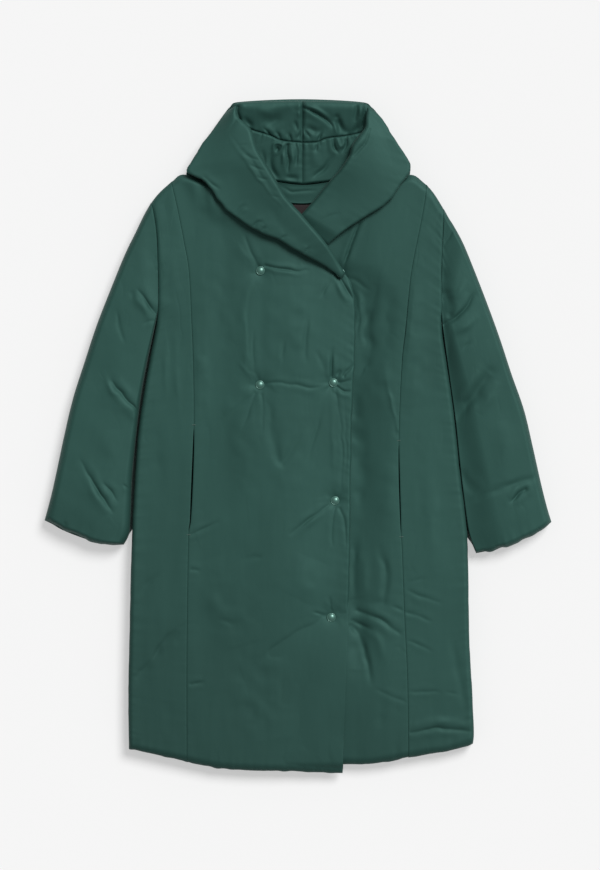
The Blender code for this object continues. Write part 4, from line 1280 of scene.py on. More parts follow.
    def relief(self) -> Heights:
        """Folds, puckers and unevenness of the top.

        Returns:
            One height for each point.
        """
        inner = np.minimum.reduce([away for away, _ in self.measures.values()])
        fade = 0.6 + 0.4 * smooth_step(inner, 0, 10)
        total = fold_heights(self.grid, self.folds) * fade
        slow = 1.2 * noise(self.grid, (80, 160), self.seed) + 0.4 * noise(self.grid, (34, 60), self.seed + 1)
        quick = 0.1 * noise(self.grid, (12, 58), self.seed + 2)
        total += self.unevenness * (slow + quick) * smooth_step(inner, 0, 30)
        near = 0.35 + 0.65 * (1 - smooth_step(inner, 12, 50))
        total -= self.unevenness * self.crinkle * near * crinkles(self.grid, 26, self.seed + 3)
        total -= 0.5 * self.unevenness * self.crinkle * near * crinkles(self.grid, 13, self.seed + 4)
        for number, (side, (away, arc)) in enumerate(self.measures.items()):
            edge = self.edges[side]
            if edge.pucker:
                total += edge.puckers(away, arc, self.seed * 10 + number)
        return total

    def levels(self, stack: Stack) -> tuple[Heights, Heights]:
        """Works out how high the panel stands.

        Args:
            stack: What lies beneath; not used.

        Returns:
            Heights of the underside and of the top.
        """
        bottom = self.base + self.underside()
        share = self.cushion()
        top = self.base + (self.thickness + self.climb * self.rows[None]) * share
        return bottom, top + self.relief() * (0.35 + 0.65 * share)

    def build(self, stack: Stack, material: bpy.types.Material) -> bpy.types.Object:
        """Makes the piece and lays it on the stack.

        Args:
            stack: What lies beneath.
            material: The cloth's material.

        Returns:
            The new object.
        """
        self.grid = self.plan()
        self.measures = self.measured()
        bottom, top = self.levels(stack)
        top = np.maximum(top, bottom + 0.4)
        drawn = self.drawn_in()
        over = self.hung_over(drawn)
        lip = np.maximum(top - self.lip, 0.5 * (top + bottom))
        points, owners, faces = pad_mesh(np.dstack([over, top]), np.dstack([drawn, lip]),
                                         np.dstack([drawn, bottom]), self.coarse)
        flat = self.grid.reshape(-1, 2)[owners]
        piece = cloth_object(f"{self.node}_cloth", points, faces, flat, self.grain, material)
        stack.add(piece)
        return piece


def snap_relief(points: Plan, depth: float = 6.0, width: float = 20.0) -> Heights:
    """The dimples round the snaps, with small gathers that run into each.

    Args:
        points: Plan points.
        depth: How deep a dimple is.
        width: Its width.

    Returns:
        One height for each point.
    """
    total = np.zeros(points.shape[:-1])
    for number, (_, x, y, strength) in enumerate(SNAPS):
        away = points - (x, y)
        radius = np.linalg.norm(away, axis=-1)
        close = radius < 90
        turn = np.arctan2(away[..., 1], away[..., 0])
        total -= depth * (0.6 * np.exp(-(radius / width) ** 2) + 0.4 * np.exp(-(radius / (0.5 * width)) ** 2))
        bent = turn + 0.5 * noise(points, (18, 18), 60 + number)
        rays = np.sin(5 * bent + 1.7 * number) + 0.8 * np.sin(8 * bent + 2.1 * number + 1)
        rays += 0.6 * np.sin(3 * bent - number)
        fall = np.exp(-radius / 14) * smooth_step(radius, 7, 14)
        total += np.where(close, strength * 0.8 * rays * fall, 0)
    return total


@dataclass
class FrontPanel(Panel):
    """A panel of the coat's front, with the dimples of the snaps."""

    def relief(self) -> Heights:
        """Folds and unevenness, and the snaps' dimples."""
        return super().relief() + snap_relief(self.grid)


def right_edge_x(y: np.ndarray) -> np.ndarray:
    """Finds the right front's free edge.

    Args:
        y: How far up the coat.

    Returns:
        Where the edge is across the coat, for each y.
    """
    line = along(EDGE_RIGHT, np.linspace(0, 1, 200))
    order = np.argsort(line[:, 1])
    return np.interp(y, line[order, 1], line[order, 0])


def lapping(y: np.ndarray) -> np.ndarray:
    """How fully the fronts lap over each other at these y: less below the last snap."""
    return 0.3 + 0.7 * smooth_step(y, -400, -240)


@dataclass
class UnderlapPanel(FrontPanel):
    """The left front, pressed thinner where the right one laps over it."""

    pressed: float = 13.5  # how much thinner it is there
    pressed_more: float = 3.5  # and how much more near its own free edge, which is hidden

    def levels(self, stack: Stack) -> tuple[Heights, Heights]:
        """Presses the lapped part thin.

        Args:
            stack: What lies beneath.

        Returns:
            Heights of the underside and of the top.
        """
        bottom, top = super().levels(stack)
        lapped = 1 - smooth_step(self.grid[..., 0] - right_edge_x(self.grid[..., 1]), -8, 78)
        hidden = 1 - smooth_step(self.grid[..., 0], -90, -10)
        lapped *= 1 - 0.6 * smooth_step(self.grid[..., 1], 250, 330)
        return bottom, top - lapped * (self.pressed * lapping(self.grid[..., 1]) + self.pressed_more * hidden)


@dataclass
class LappingPanel(FrontPanel):
    """The right front, which rises gently over the underlap."""

    raised: float = 6.0  # how far it rises
    thinned: float = 5.0  # how much thinner it is at its free edge
    least: float = 3.5  # how thin it may get over what lies beneath

    def levels(self, stack: Stack) -> tuple[Heights, Heights]:
        """Raises the panel where another one lies beneath, and thins it towards its free edge.

        Args:
            stack: What lies beneath.

        Returns:
            Heights of the underside and of the top.
        """
        bottom, top = super().levels(stack)
        beneath = spread_maximum(np.maximum(stack.heights(self.grid) + LAY_GAP, self.base), self.coarse)
        free = self.grid[..., 0] - right_edge_x(self.grid[..., 1])
        raised = self.raised * lapping(self.grid[..., 1]) * smooth_step(self.grid[..., 0], -205, 30)
        raised *= 1 - 0.55 * smooth_step(free, -150, 0)
        raised -= self.thinned * smooth_step(free, -170, 4)
        return np.maximum(bottom, beneath), np.maximum(top + raised, beneath + self.least)


@dataclass
class WingPanel(Panel):
    """One side of the hood, turned over onto what lies beneath it."""

    tip: float = 20.0  # its thickness at its last row
    tapers: float = 0.8  # the share of its length at which it starts to thin to that
    outer_share: float = 0.5  # share of the full thickness at its outer side
    fills: float = 95.0  # how far from there it is full
    kept: tuple = (0.0, 0.0)  # the least level that it lies at, at its first and at its last row
    least: float = 3.0  # how thin it may get over what lies beneath

    def levels(self, stack: Stack) -> tuple[Heights, Heights]:
        """Bridges what lies beneath, thin at the top and at the tip.

        Args:
            stack: What lies beneath.

        Returns:
            Heights of the underside and of the top.
        """
        beneath = spread_maximum(np.maximum(stack.heights(self.grid) + LAY_GAP, self.base), self.coarse)
        rows = self.rows[None]
        kept = self.kept[0] + (self.kept[1] - self.kept[0]) * rows
        level = np.maximum(spanned(beneath), kept)
        ends = 1 - smooth_step(rows, self.tapers, 0.99) * (1 - self.tip / self.thickness)
        ends = ends * (0.55 + 0.45 * smooth_step(rows, 0, 0.22))
        from_outer = blurred(self.measures[Side.LEFT][0], 600)
        fuller = self.outer_share + (1 - self.outer_share) * np.clip(from_outer / self.fills, 0, 1)
        fuller = fuller + (0.6 - fuller) * 0.8 * smooth_step(rows, 0.45, 0.8)
        share = self.cushion() * fuller
        padding = self.thickness * share + self.relief() * (0.35 + 0.65 * share)
        top = np.maximum(blurred(level, 240) + padding * ends, beneath + self.least)
        return np.minimum(beneath + self.underside(), top - 1.0), top


def slit_gap(line: Plan, slit: tuple[float, float], half_width: float) -> np.ndarray:
    """Half the opening of a pocket slit at each point of a seam."""
    share = np.clip((line[:, 1] - slit[0]) / (slit[1] - slit[0]), 0, 1)
    return SEAM_GAP / 2 + half_width * np.sin(math.pi * share) ** 0.45


@dataclass
class Declared:
    """How finished pieces are attached to the coat, with the imported solids that they stand for hidden."""

    slot_shell: str = "shell_fabric"
    slot_lining: str = "lining_fabric"
    slot_pocket: str = "pocket_fabric"
    slot_cap: str = "snap_cap"

    def hand_in(self, piece: bpy.types.Object, node: str | None, slot: str) -> None:
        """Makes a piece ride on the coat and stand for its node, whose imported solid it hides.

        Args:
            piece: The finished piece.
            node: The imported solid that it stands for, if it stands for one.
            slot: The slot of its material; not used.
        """
        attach(piece, BODY)
        if node is not None:
            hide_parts(node)
        log.info("%s: %d faces", piece.name, len(piece.data.polygons))

    def sheet(self, piece: bpy.types.Object, node: str, cut: Cut, held: Held,
              slot: str = "shell_fabric") -> None:
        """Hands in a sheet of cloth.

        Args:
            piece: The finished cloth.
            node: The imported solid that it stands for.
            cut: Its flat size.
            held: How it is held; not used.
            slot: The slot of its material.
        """
        self.hand_in(piece, node, slot)
        log.info("%s: cut %.3f x %.3f m, %.4f m2", piece.name, cut.width, cut.length, cut.area)


PRINCESS = Edge(20.5, 3, pucker=0.1, pucker_length=16)
ARMHOLE = Edge(19.6, 5, overhang=0.8)
SIDE_SEAM = Edge(12, 9, Round.BOLSTER, pucker=0.35, pucker_length=24, wave=0.5, upper=ARMHOLE)
SHOULDER = Edge(10, 13, Round.BOLSTER, pucker=0.4, pucker_length=24)
HEM = Edge(9, 16, Round.BOLSTER, lift=4, lift_reach=12, pucker=0.6, pucker_length=20, wave=2.0)
NECK = Edge(10, 14)
FREE_EDGE = Edge(14, 5, Round.BOLSTER, lift=2, lift_reach=5, pucker=0.4, pucker_length=26, wave=1.4)


@dataclass
class Part:
    """A part of the coat."""

    finishes: Finishes  # the coat's materials
    declared: Declared  # how its pieces are handed in
    stack: Stack  # what is already laid down


@dataclass
class Body(Part):
    """The back panel and the four panels of the front."""

    rows: np.ndarray = field(default_factory=lambda: grid_shares(BODY_LENGTH))  # share of each row
    shoulder: int = 8  # how many rows the back has along each shoulder
    shoulder_share: float = 0.05  # share of the back's length that they take
    slit_half_width: tuple = (1.5, 1.0)  # half the opening of the right and of the left slit

    def back(self) -> Panel:
        """The back panel, level underneath.

        Returns:
            The panel.
        """
        shoulder_rows = np.linspace(0, 1, self.shoulder + 1)[1:]
        body_rows = grid_shares(BODY_LENGTH, 9.0)
        sides = []
        for side, shoulder in ((SIDE_RIGHT, SHOULDER_RIGHT + NECK_BACK[:1]),
                               (SIDE_LEFT, SHOULDER_LEFT[::-1] + NECK_BACK[-1:])):
            sides.append(np.vstack([along(side, body_rows), along(shoulder, shoulder_rows)]))
        rows = np.concatenate([body_rows * (1 - self.shoulder_share),
                               1 - self.shoulder_share * (1 - shoulder_rows)])
        lifted = Edge(14, 20, Round.BOLSTER, lift=10, lift_reach=18)
        hem = Edge(10, 14, Round.BOLSTER, lift=7, lift_reach=14, wave=1.4)
        return Panel("back", four(*sides, HEM_BACK, NECK_BACK), four(lifted, lifted, hem, Edge(15, 10)),
                     BACK_THICKNESS, 0.0, seed=3, rows=rows, unevenness=0.0, step=9.0, coarse=1)

    def panels(self) -> list[Panel]:
        """The five panels.

        Returns:
            The panels, from the bottom up.
        """
        rows = self.rows
        hidden = np.append([0, 0.005, 0.015], np.linspace(0.04, 0.5, 18))
        lapped = np.concatenate([hidden, 0.5 + 0.5 * grid_shares(145)[5:]])
        right_gap = slit_gap(along(PRINCESS_RIGHT, rows), SLIT_RIGHT, self.slit_half_width[0])
        left_gap = slit_gap(along(PRINCESS_LEFT, rows), SLIT_LEFT, self.slit_half_width[1])
        return [
            self.back(),
            FrontPanel("left_side_front", four(PRINCESS_LEFT, SIDE_LEFT, HEM_SIDE_LEFT, SHOULDER_LEFT),
                       four(PRINCESS, SIDE_SEAM, HEM, SHOULDER), FRONT_THICKNESS, folds=LEFT_SIDE_FOLDS,
                       seed=11, rows=rows, gaps={Side.LEFT: left_gap}),
            UnderlapPanel("left_front", four(EDGE_LEFT, PRINCESS_LEFT, HEM_FRONT_LEFT, NECK_LEFT),
                          four(Edge(8, 8), PRINCESS, HEM, NECK), FRONT_THICKNESS, folds=LEFT_FRONT_FOLDS,
                          seed=12, rows=rows, columns=lapped, gaps={Side.RIGHT: left_gap}),
            FrontPanel("right_side_front", four(SIDE_RIGHT, PRINCESS_RIGHT, HEM_SIDE_RIGHT, SHOULDER_RIGHT),
                       four(SIDE_SEAM, PRINCESS, HEM, SHOULDER), FRONT_THICKNESS, folds=RIGHT_SIDE_FOLDS,
                       seed=13, rows=rows, gaps={Side.RIGHT: right_gap}),
            LappingPanel("right_front", four(PRINCESS_RIGHT, EDGE_RIGHT, HEM_FRONT_RIGHT, NECK_RIGHT),
                         four(PRINCESS, FREE_EDGE, HEM, NECK), FRONT_THICKNESS, folds=RIGHT_FRONT_FOLDS,
                         seed=14, rows=rows, gaps={Side.LEFT: right_gap}),
        ]

    def build(self) -> None:
        """Makes the panels and hands them in."""
        for panel in self.panels():
            piece = panel.build(self.stack, self.finishes.shell)
            self.declared.sheet(piece, panel.node, panel.cut(), Held.LAID)


@dataclass
class Pockets(Part):
    """The facings that show at the bottom of the pocket slits, and the bar tacks at the slits' ends."""

    top: float = 20.0  # how high the facings stand
    half_width: tuple = (1.2, 0.7)  # half the width of the right and of the left one
    tack_places: tuple = (-7, 8)  # how far up from the slit's lower and upper end the tacks are
    stitches: int = 9
    stitch_radius: float = 0.5
    stitch_length: float = 2.4  # how many times longer than wide
    stitch_step: float = 0.78  # from one to the next
    stitch_sink: float = 0.2  # how far it sinks into the cloth

    def build(self) -> None:
        """Makes both pockets."""
        for node, seam, slit, half_width in (("right_pocket", PRINCESS_RIGHT, SLIT_RIGHT, self.half_width[0]),
                                             ("left_pocket", PRINCESS_LEFT, SLIT_LEFT, self.half_width[1])):
            piece = self.facing(node, seam, slit, half_width)
            self.declared.hand_in(piece, node, self.declared.slot_pocket)
            for number, (end, place) in enumerate(zip(slit, self.tack_places), 1):
                tack = self.tack(f"{node}_tack_{number}", seam, end + place)
                self.declared.hand_in(tack, None, self.declared.slot_shell)

    def facing(self, node: str, seam: Curve, slit: tuple[float, float],
               half_width: float) -> bpy.types.Object:
        """Makes the strip of cloth at the bottom of a slit.

        Args:
            node: The node that it stands for.
            seam: The seam that the slit is in.
            slit: Its two ends, up the coat.
            half_width: Half the strip's width.

        Returns:
            The strip.
        """
        line = along(seam, np.linspace(0, 1, 500))
        line = line[(line[:, 1] > slit[0] + 1) & (line[:, 1] < slit[1] - 1)][::2]
        gap = slit_gap(line, slit, half_width) - SEAM_GAP / 2
        tangent = np.gradient(line, axis=0)
        normal = np.stack([tangent[:, 1], -tangent[:, 0]], axis=1) / np.linalg.norm(tangent, axis=1)[:, None]
        across = np.linspace(-1, 1, 7)
        grid = line[None] + across[:, None, None] * (normal * gap[:, None])[None]
        top = self.top - 1.6 * across[:, None] ** 2 + 0.4 * noise(grid, (4, 18), 5)
        bottom = np.full(top.shape, REST)
        points, owners, faces = pad_mesh(np.dstack([grid, top]), np.dstack([grid, (top + bottom) / 2]),
                                         np.dstack([grid, bottom]), 1)
        flat = grid.reshape(-1, 2)[owners]
        return cloth_object(f"{node}_facing", points, faces, flat, 0, self.finishes.shell)

    def tack(self, name: str, seam: Curve, y: float) -> bpy.types.Object:
        """Makes a bar tack across a seam: a row of close short stitches.

        Args:
            name: Its name.
            seam: The seam.
            y: Where it lies, up the coat.

        Returns:
            The bar tack.
        """
        line = along(seam, np.linspace(0, 1, 500))
        x = float(np.interp(y, line[:, 1], line[:, 0]))
        bpy.ops.object.select_all(action="DESELECT")
        bpy.ops.mesh.primitive_uv_sphere_add(segments=8, ring_count=6, radius=self.stitch_radius * MM,
                                             location=(0, 0, 0))
        made = bpy.context.object
        bpy.ops.object.mode_set(mode="EDIT")
        bpy.ops.mesh.select_all(action="SELECT")
        bpy.ops.transform.resize(value=(1.0, self.stitch_length, 1.0))
        bpy.ops.object.mode_set(mode="OBJECT")
        row = made.modifiers.new("row", "ARRAY")
        row.count = self.stitches
        row.use_relative_offset = False
        row.use_constant_offset = True
        row.constant_offset_displace = (self.stitch_step * MM, 0, 0)
        bpy.ops.object.modifier_apply(modifier="row")
        points = np.array([vertex.co[:] for vertex in made.data.vertices])
        points[:, 0] += x * MM - points[:, 0].mean()
        points[:, 1] += y * MM
        heights = {}
        for point in points:
            key = (round(point[0] * 2000), round(point[1] * 2000))
            if key not in heights:
                heights[key] = self.stack.height(point[0] / MM, point[1] / MM) * MM
        lift = max(heights.values()) - self.stitch_sink * MM
        made.data.vertices.foreach_set("co", (points + (0, 0, lift)).ravel())
        made.location = (0, 0, 0)
        made.name = name
        made.data.name = name
        made.data.materials.clear()
        made.data.materials.append(self.finishes.thread)
        made.data.shade_smooth()
        return made


@dataclass
class Sleeve:
    """A flattened padded tube, with the thin slot between its two layers open at the cuff."""

    node: str
    side: Curve  # the body's side seam
    cuff: Curve  # line of the cuff
    outer: Curve  # its outer side
    inner: Curve  # its inner side, next to the body
    folds: tuple
    grain: float
    seed: int  # which noise its unevenness comes from
    seam_drop: float  # how far its top sinks at the armhole
    seam_half_height: float  # half its height there
    inner_round: float  # radius of its inner side
    inner_drop: float  # how much lower its inner side is
    half_height: float = 21.0  # half its height further down
    cuff_half_height: float = 20.0  # half its height at the cuff
    crown: float = 2.5  # how much higher its middle is
    wall: float = 17.0  # thickness of its wall at the sides of the slot
    slot: float = 3.0  # height of the slot
    seam_gap: float = 0.6  # gap between it and the body
    outer_round: float = 15.0  # radius of its outer side
    inner_reach: float = 62.0  # how far from its inner side it is lower
    cuff_round: float = 11.0  # length of the round at the cuff
    cuff_wave: float = 3.4  # how far the cuff's line wanders
    length: float = 640.0  # its length, as the rows count it
    seam_round: float = 5.0  # length of the round at the armhole
    top_points: int = 84  # points across the top
    arc_points: int = 9  # points on each quarter round
    bottom_points: int = 22  # points across the underside
    slot_rows: int = 9  # how many rows make one of the slot's
    # Angles round the lower inner side, and how far towards the body and how high it goes there
    tuck_turns: tuple = (-90.0, -75.0, -62.0, -52.0, -44.0, -36.0, -28.0, -20.0, -12.0, -5.0, 0.0)
    tuck_reach: tuple = (-15.0, -9.0, -1.0, 4.0, 6.2, 6.2, 4.0, 1.5, 0.0, 0.0, 0.0)
    tuck_levels: tuple = (0.0, 0.0, 0.0, 0.0, 0.4, 2.2, 4.0, 7.0, 11.0, 17.0, 21.0)
    cut: Cut | None = None  # its flat size, once it is made

    def armhole(self) -> Curve:
        """Follows the body's side seam from the shoulder down to the underarm, clear of the body.

        Returns:
            The line.
        """
        line = along(self.side, np.linspace(0, 1, 600))
        line = line[line[:, 1] >= self.inner[0][1]][::-1]
        away = math.copysign(self.seam_gap, line[0, 0])
        return tuple((x + away, y) for x, y in line[::4])

    def section(self) -> tuple[np.ndarray, np.ndarray, np.ndarray]:
        """One section of the tube, from the middle of its body side over the top and back underneath.

        Returns:
            Where the middle of each point's round lies, from -1 to 1, and how far round it the point lies, as
            the cosine and sine of an angle.
        """
        arc = np.linspace(0, math.pi / 2, self.arc_points + 1)
        quarters = [k * math.pi / 2 + arc - math.pi / 2 for k in range(4)]
        flat = np.linspace(1, -1, self.top_points + 1)[1:-1]
        under = np.linspace(-1, 1, self.bottom_points + 1)[1:-1]
        turns = np.concatenate([quarters[0][:-1], quarters[1], np.full(flat.shape, math.pi / 2),
                                quarters[2][:-1], quarters[3], np.full(under.shape, -math.pi / 2)])
        half_round = np.ones(2 * self.arc_points + 1)
        centres = np.concatenate([half_round, flat, -half_round, under])
        swing = np.where(np.abs(centres) == 1, np.cos(turns), 0)
        return centres, swing, np.sin(turns)

    def build(self, stack: Stack, material: bpy.types.Material) -> bpy.types.Object:
        """Makes the sleeve and lays it on the stack.

        Args:
            stack: What lies beneath.
            material: The cloth's material.

        Returns:
            The new object.
        """
        rows = grid_shares(self.length, GRID_STEP)
        armhole = self.armhole()
        starts = along((armhole[0],) + self.outer[1:], rows)
        ends = along((armhole[-1],) + self.inner[1:], rows)
        width = np.linalg.norm(ends - starts, axis=1)[:, None]
        centres, swing, height = self.section()
        distance, left = rows[:, None] * self.length, (1 - rows[:, None]) * self.length
        fuller = smooth_step(distance, 0, 80)
        half = self.seam_half_height + (self.half_height - self.seam_half_height) * fuller
        half = half - (self.half_height - self.cuff_half_height) * smooth_step(rows[:, None], 0.9, 1)
        between = width - self.outer_round - self.inner_round
        reach = (centres + 1) / 2 * between - (width / 2 - self.outer_round)
        reach = reach + swing * np.where(centres > 0, self.inner_round, self.outer_round)
        plan = self.plan_points(np.clip(0.5 + reach / width, 0, 1), rows, armhole, starts, ends)
        above = np.clip(height, 0, 1)
        sunk = self.seam_drop * (1 - np.sqrt(1 - np.clip(1 - distance / self.seam_round, 0, 1) ** 2))
        crown = self.crown * np.cos(np.clip(reach / width, -0.5, 0.5) * math.pi) * fuller
        near_body = 1 - smooth_step(width / 2 - reach, 0, self.inner_reach)
        lowered = smooth_step(distance, 0, 110) * self.inner_drop * near_body
        levels = half + half * height + (crown - sunk - lowered) * above
        levels = levels + self.relief(plan, reach + width / 2, distance, left) * above**1.5
        closing = np.sqrt(np.clip(1 - np.clip(1 - left / self.cuff_round, 0, 1) ** 2, 0, 1))
        levels = half + (levels - half) * (0.12 + 0.88 * closing)
        plan, levels = self.tucked(plan, levels, rows, height, centres, (ends - starts) / width, ends)
        skin = np.dstack([plan, np.maximum(levels, 0)])
        some = sparse(len(rows), self.slot_rows)
        narrow = np.clip(0.5 + reach / width * (width - 2 * self.wall) / width, 0, 1)[some]
        slot_plan = self.plan_points(narrow, rows[some], armhole, starts[some], ends[some])
        down = np.gradient(starts + ends, axis=0)
        down /= np.linalg.norm(down, axis=1)[:, None]
        places = np.dstack([reach, np.zeros_like(reach)])
        wavy = self.cuff_wave * noise(places, (16, 16), self.seed + 6) * np.exp(-left / 9)
        skin[..., :2] += wavy[..., None] * down[:, None]
        self.cut = Cut.of_grid(np.concatenate([skin, skin[:, :1]], axis=1).transpose(1, 0, 2))
        slots = np.dstack([slot_plan, half[some] + height * self.slot / 2])
        return self.tube(skin, slots, stack, material)

    def relief(self, plan: Plan, arc: np.ndarray, distance: np.ndarray, left: np.ndarray) -> Heights:
        """Folds, unevenness, and the puckers at the armhole and the cuff.

        Args:
            plan: Plan points.
            arc: Place of each point across the sleeve.
            distance: How far each row is from the armhole.
            left: How far each row is from the cuff.

        Returns:
            One height for each point.
        """
        total = fold_heights(plan, self.folds)
        total += 1.0 * noise(plan, (60, 90), self.seed) + 0.35 * noise(plan, (28, 36), self.seed + 1)
        near = 0.4 + 0.6 * (1 - smooth_step(np.minimum(distance, left), 10, 60))
        total -= near * (0.5 * crinkles(plan, 24, self.seed + 2) + 0.25 * crinkles(plan, 13, self.seed + 3))
        shape = np.broadcast_shapes(arc.shape, left.shape)
        for amount, length, away, seed in ((0.45, 17, left, self.seed), (0.3, 19, distance, self.seed + 5)):
            edge = Edge(1, 1, pucker=amount, pucker_length=length)
            total += edge.puckers(np.broadcast_to(away, shape), arc, seed)
        return total

    def tucked(self, plan: Plan, levels: Heights, rows: np.ndarray, height: np.ndarray, centres: np.ndarray,
               heading: Plan, ends: Plan) -> tuple[Plan, Heights]:
        """Presses the sleeve's lower edge a little way under the body's lifted side.

        Args:
            plan: Plan points.
            levels: Their heights.
            rows: Share of each row down the sleeve.
            height: How far round its edge each point lies, as the sine of an angle.
            centres: Where the middle of each point's round lies.
            heading: Direction across the sleeve at each row, towards the body.
            ends: Where each row ends at the body.

        Returns:
            The new plan points and heights.
        """
        lower = (centres == 1) & (height <= 0)
        turns = np.degrees(np.arcsin(height[lower]))
        share = (smooth_step(rows * self.length, 0, 12) * (1 - smooth_step(rows, 0.9, 0.97)))[:, None]
        out = np.interp(turns, self.tuck_turns, self.tuck_reach)
        own = self.inner_round * (np.cos(np.radians(turns)) - 1)
        tangent = np.gradient(ends, axis=0)
        inwards = np.stack([-tangent[:, 1], tangent[:, 0]], axis=1) / np.linalg.norm(tangent, axis=1)[:, None]
        inwards *= -np.sign(inwards[:, :1] * ends[:, :1])
        turned = smooth_step(turns, -90, -62)[None, :, None]
        course = (1 - turned) * heading[:, None] + turned * inwards[:, None]
        course /= np.linalg.norm(course, axis=-1)[..., None]
        moved, raised = plan.copy(), levels.copy()
        moved[:, lower] += share[..., None] * (out[:, None] * course - own[:, None] * heading[:, None])
        raised[:, lower] += share * (np.interp(turns, self.tuck_turns, self.tuck_levels) - levels[:, lower])
        return moved, raised

    def plan_points(self, shares: np.ndarray, rows: np.ndarray, armhole: Curve, starts: Plan,
                    ends: Plan) -> Plan:
        """Lays out rings of the sleeve between the armhole and the cuff.

        Args:
            shares: Shares of the sleeve's width, [row, point].
            rows: Share of each row down the sleeve.
            armhole: Line of the armhole.
            starts: Outer end of each row.
            ends: Inner end of each row.

        Returns:
            Plan points, [row, point].
        """
        near = along(armhole, shares.ravel()).reshape(*shares.shape, 2)
        far = along(self.cuff, shares.ravel()).reshape(*shares.shape, 2)
        w = shares[..., None]
        near_corners = (1 - w) * np.array(armhole[0]) + w * np.array(armhole[-1])
        far_corners = (1 - w) * np.array(self.cuff[0]) + w * np.array(self.cuff[-1])
        down = rows[:, None, None]
        across = (1 - w) * starts[:, None] + w * ends[:, None]
        return across + (1 - down) * (near - near_corners) + down * (far - far_corners)

    def tube(self, skin: np.ndarray, slots: np.ndarray, stack: Stack,
             material: bpy.types.Material) -> bpy.types.Object:
        """Joins the rings of the skin and of the slot into one closed mesh.

        Args:
            skin: Points of the outside, [row, point].
            slots: Points of the slot, [row, point].
            stack: What lies beneath.
            material: The cloth's material.

        Returns:
            The new object.
        """
        faces = []
        first = 0
        ends = []
        for rings, outwards in ((skin, True), (slots, False)):
            levels, count = rings.shape[:2]
            index = np.arange(levels * count).reshape(levels, count) + first
            after = np.roll(index, -1, axis=1)
            quads = np.stack([index[:-1], after[:-1], after[1:], index[1:]], axis=-1).reshape(-1, 4)
            faces.append(quads if outwards else quads[:, ::-1])
            ends.append((index, after))
            first += levels * count
        (skin_index, skin_after), (slot_index, slot_after) = ends
        faces.append(np.stack([skin_index[0], slot_index[0], slot_after[0], skin_after[0]], axis=-1))
        faces.append(np.stack([skin_index[-1], skin_after[-1], slot_after[-1], slot_index[-1]], axis=-1))
        faces = np.concatenate(faces)
        points = np.concatenate([skin.reshape(-1, 3), slots.reshape(-1, 3)])
        a, b, c = (points[faces[:, k]] for k in (0, 1, 2))
        if float(np.einsum("ij,ij->i", a, np.cross(b, c)).sum()) < 0:
            faces = faces[:, ::-1]
        name = f"{self.node}_cloth"
        piece = cloth_object(name, points, faces.tolist(), points[:, :2], self.grain, material)
        stack.add(piece)
        return piece


@dataclass
class Sleeves(Part):
    """Both sleeves."""

    def build(self) -> None:
        """Makes the sleeves and hands them in."""
        for sleeve in (
            Sleeve("right_sleeve", SIDE_RIGHT, CUFF_RIGHT, SLEEVE_RIGHT_OUTER, SLEEVE_RIGHT_INNER,
                   RIGHT_SLEEVE_FOLDS, -14.0, 21, 2.6, 20.4, 15.0, 0.0),
            Sleeve("left_sleeve", SIDE_LEFT, CUFF_LEFT, SLEEVE_LEFT_OUTER, SLEEVE_LEFT_INNER,
                   LEFT_SLEEVE_FOLDS, 14.0, 25, 0.6, 18.2, 1.8, 10.5),
        ):
            piece = sleeve.build(self.stack, self.finishes.shell)
            self.declared.sheet(piece, sleeve.node, sleeve.cut, Held.LAID)


def split(curve: Curve) -> tuple[Curve, Curve]:
    """The two parts of a curve on either side of the hood's centre seam, where the curve has a point."""
    at = [x for x, _ in curve].index(HOOD_CENTRE)
    return curve[:at + 1], curve[at:]


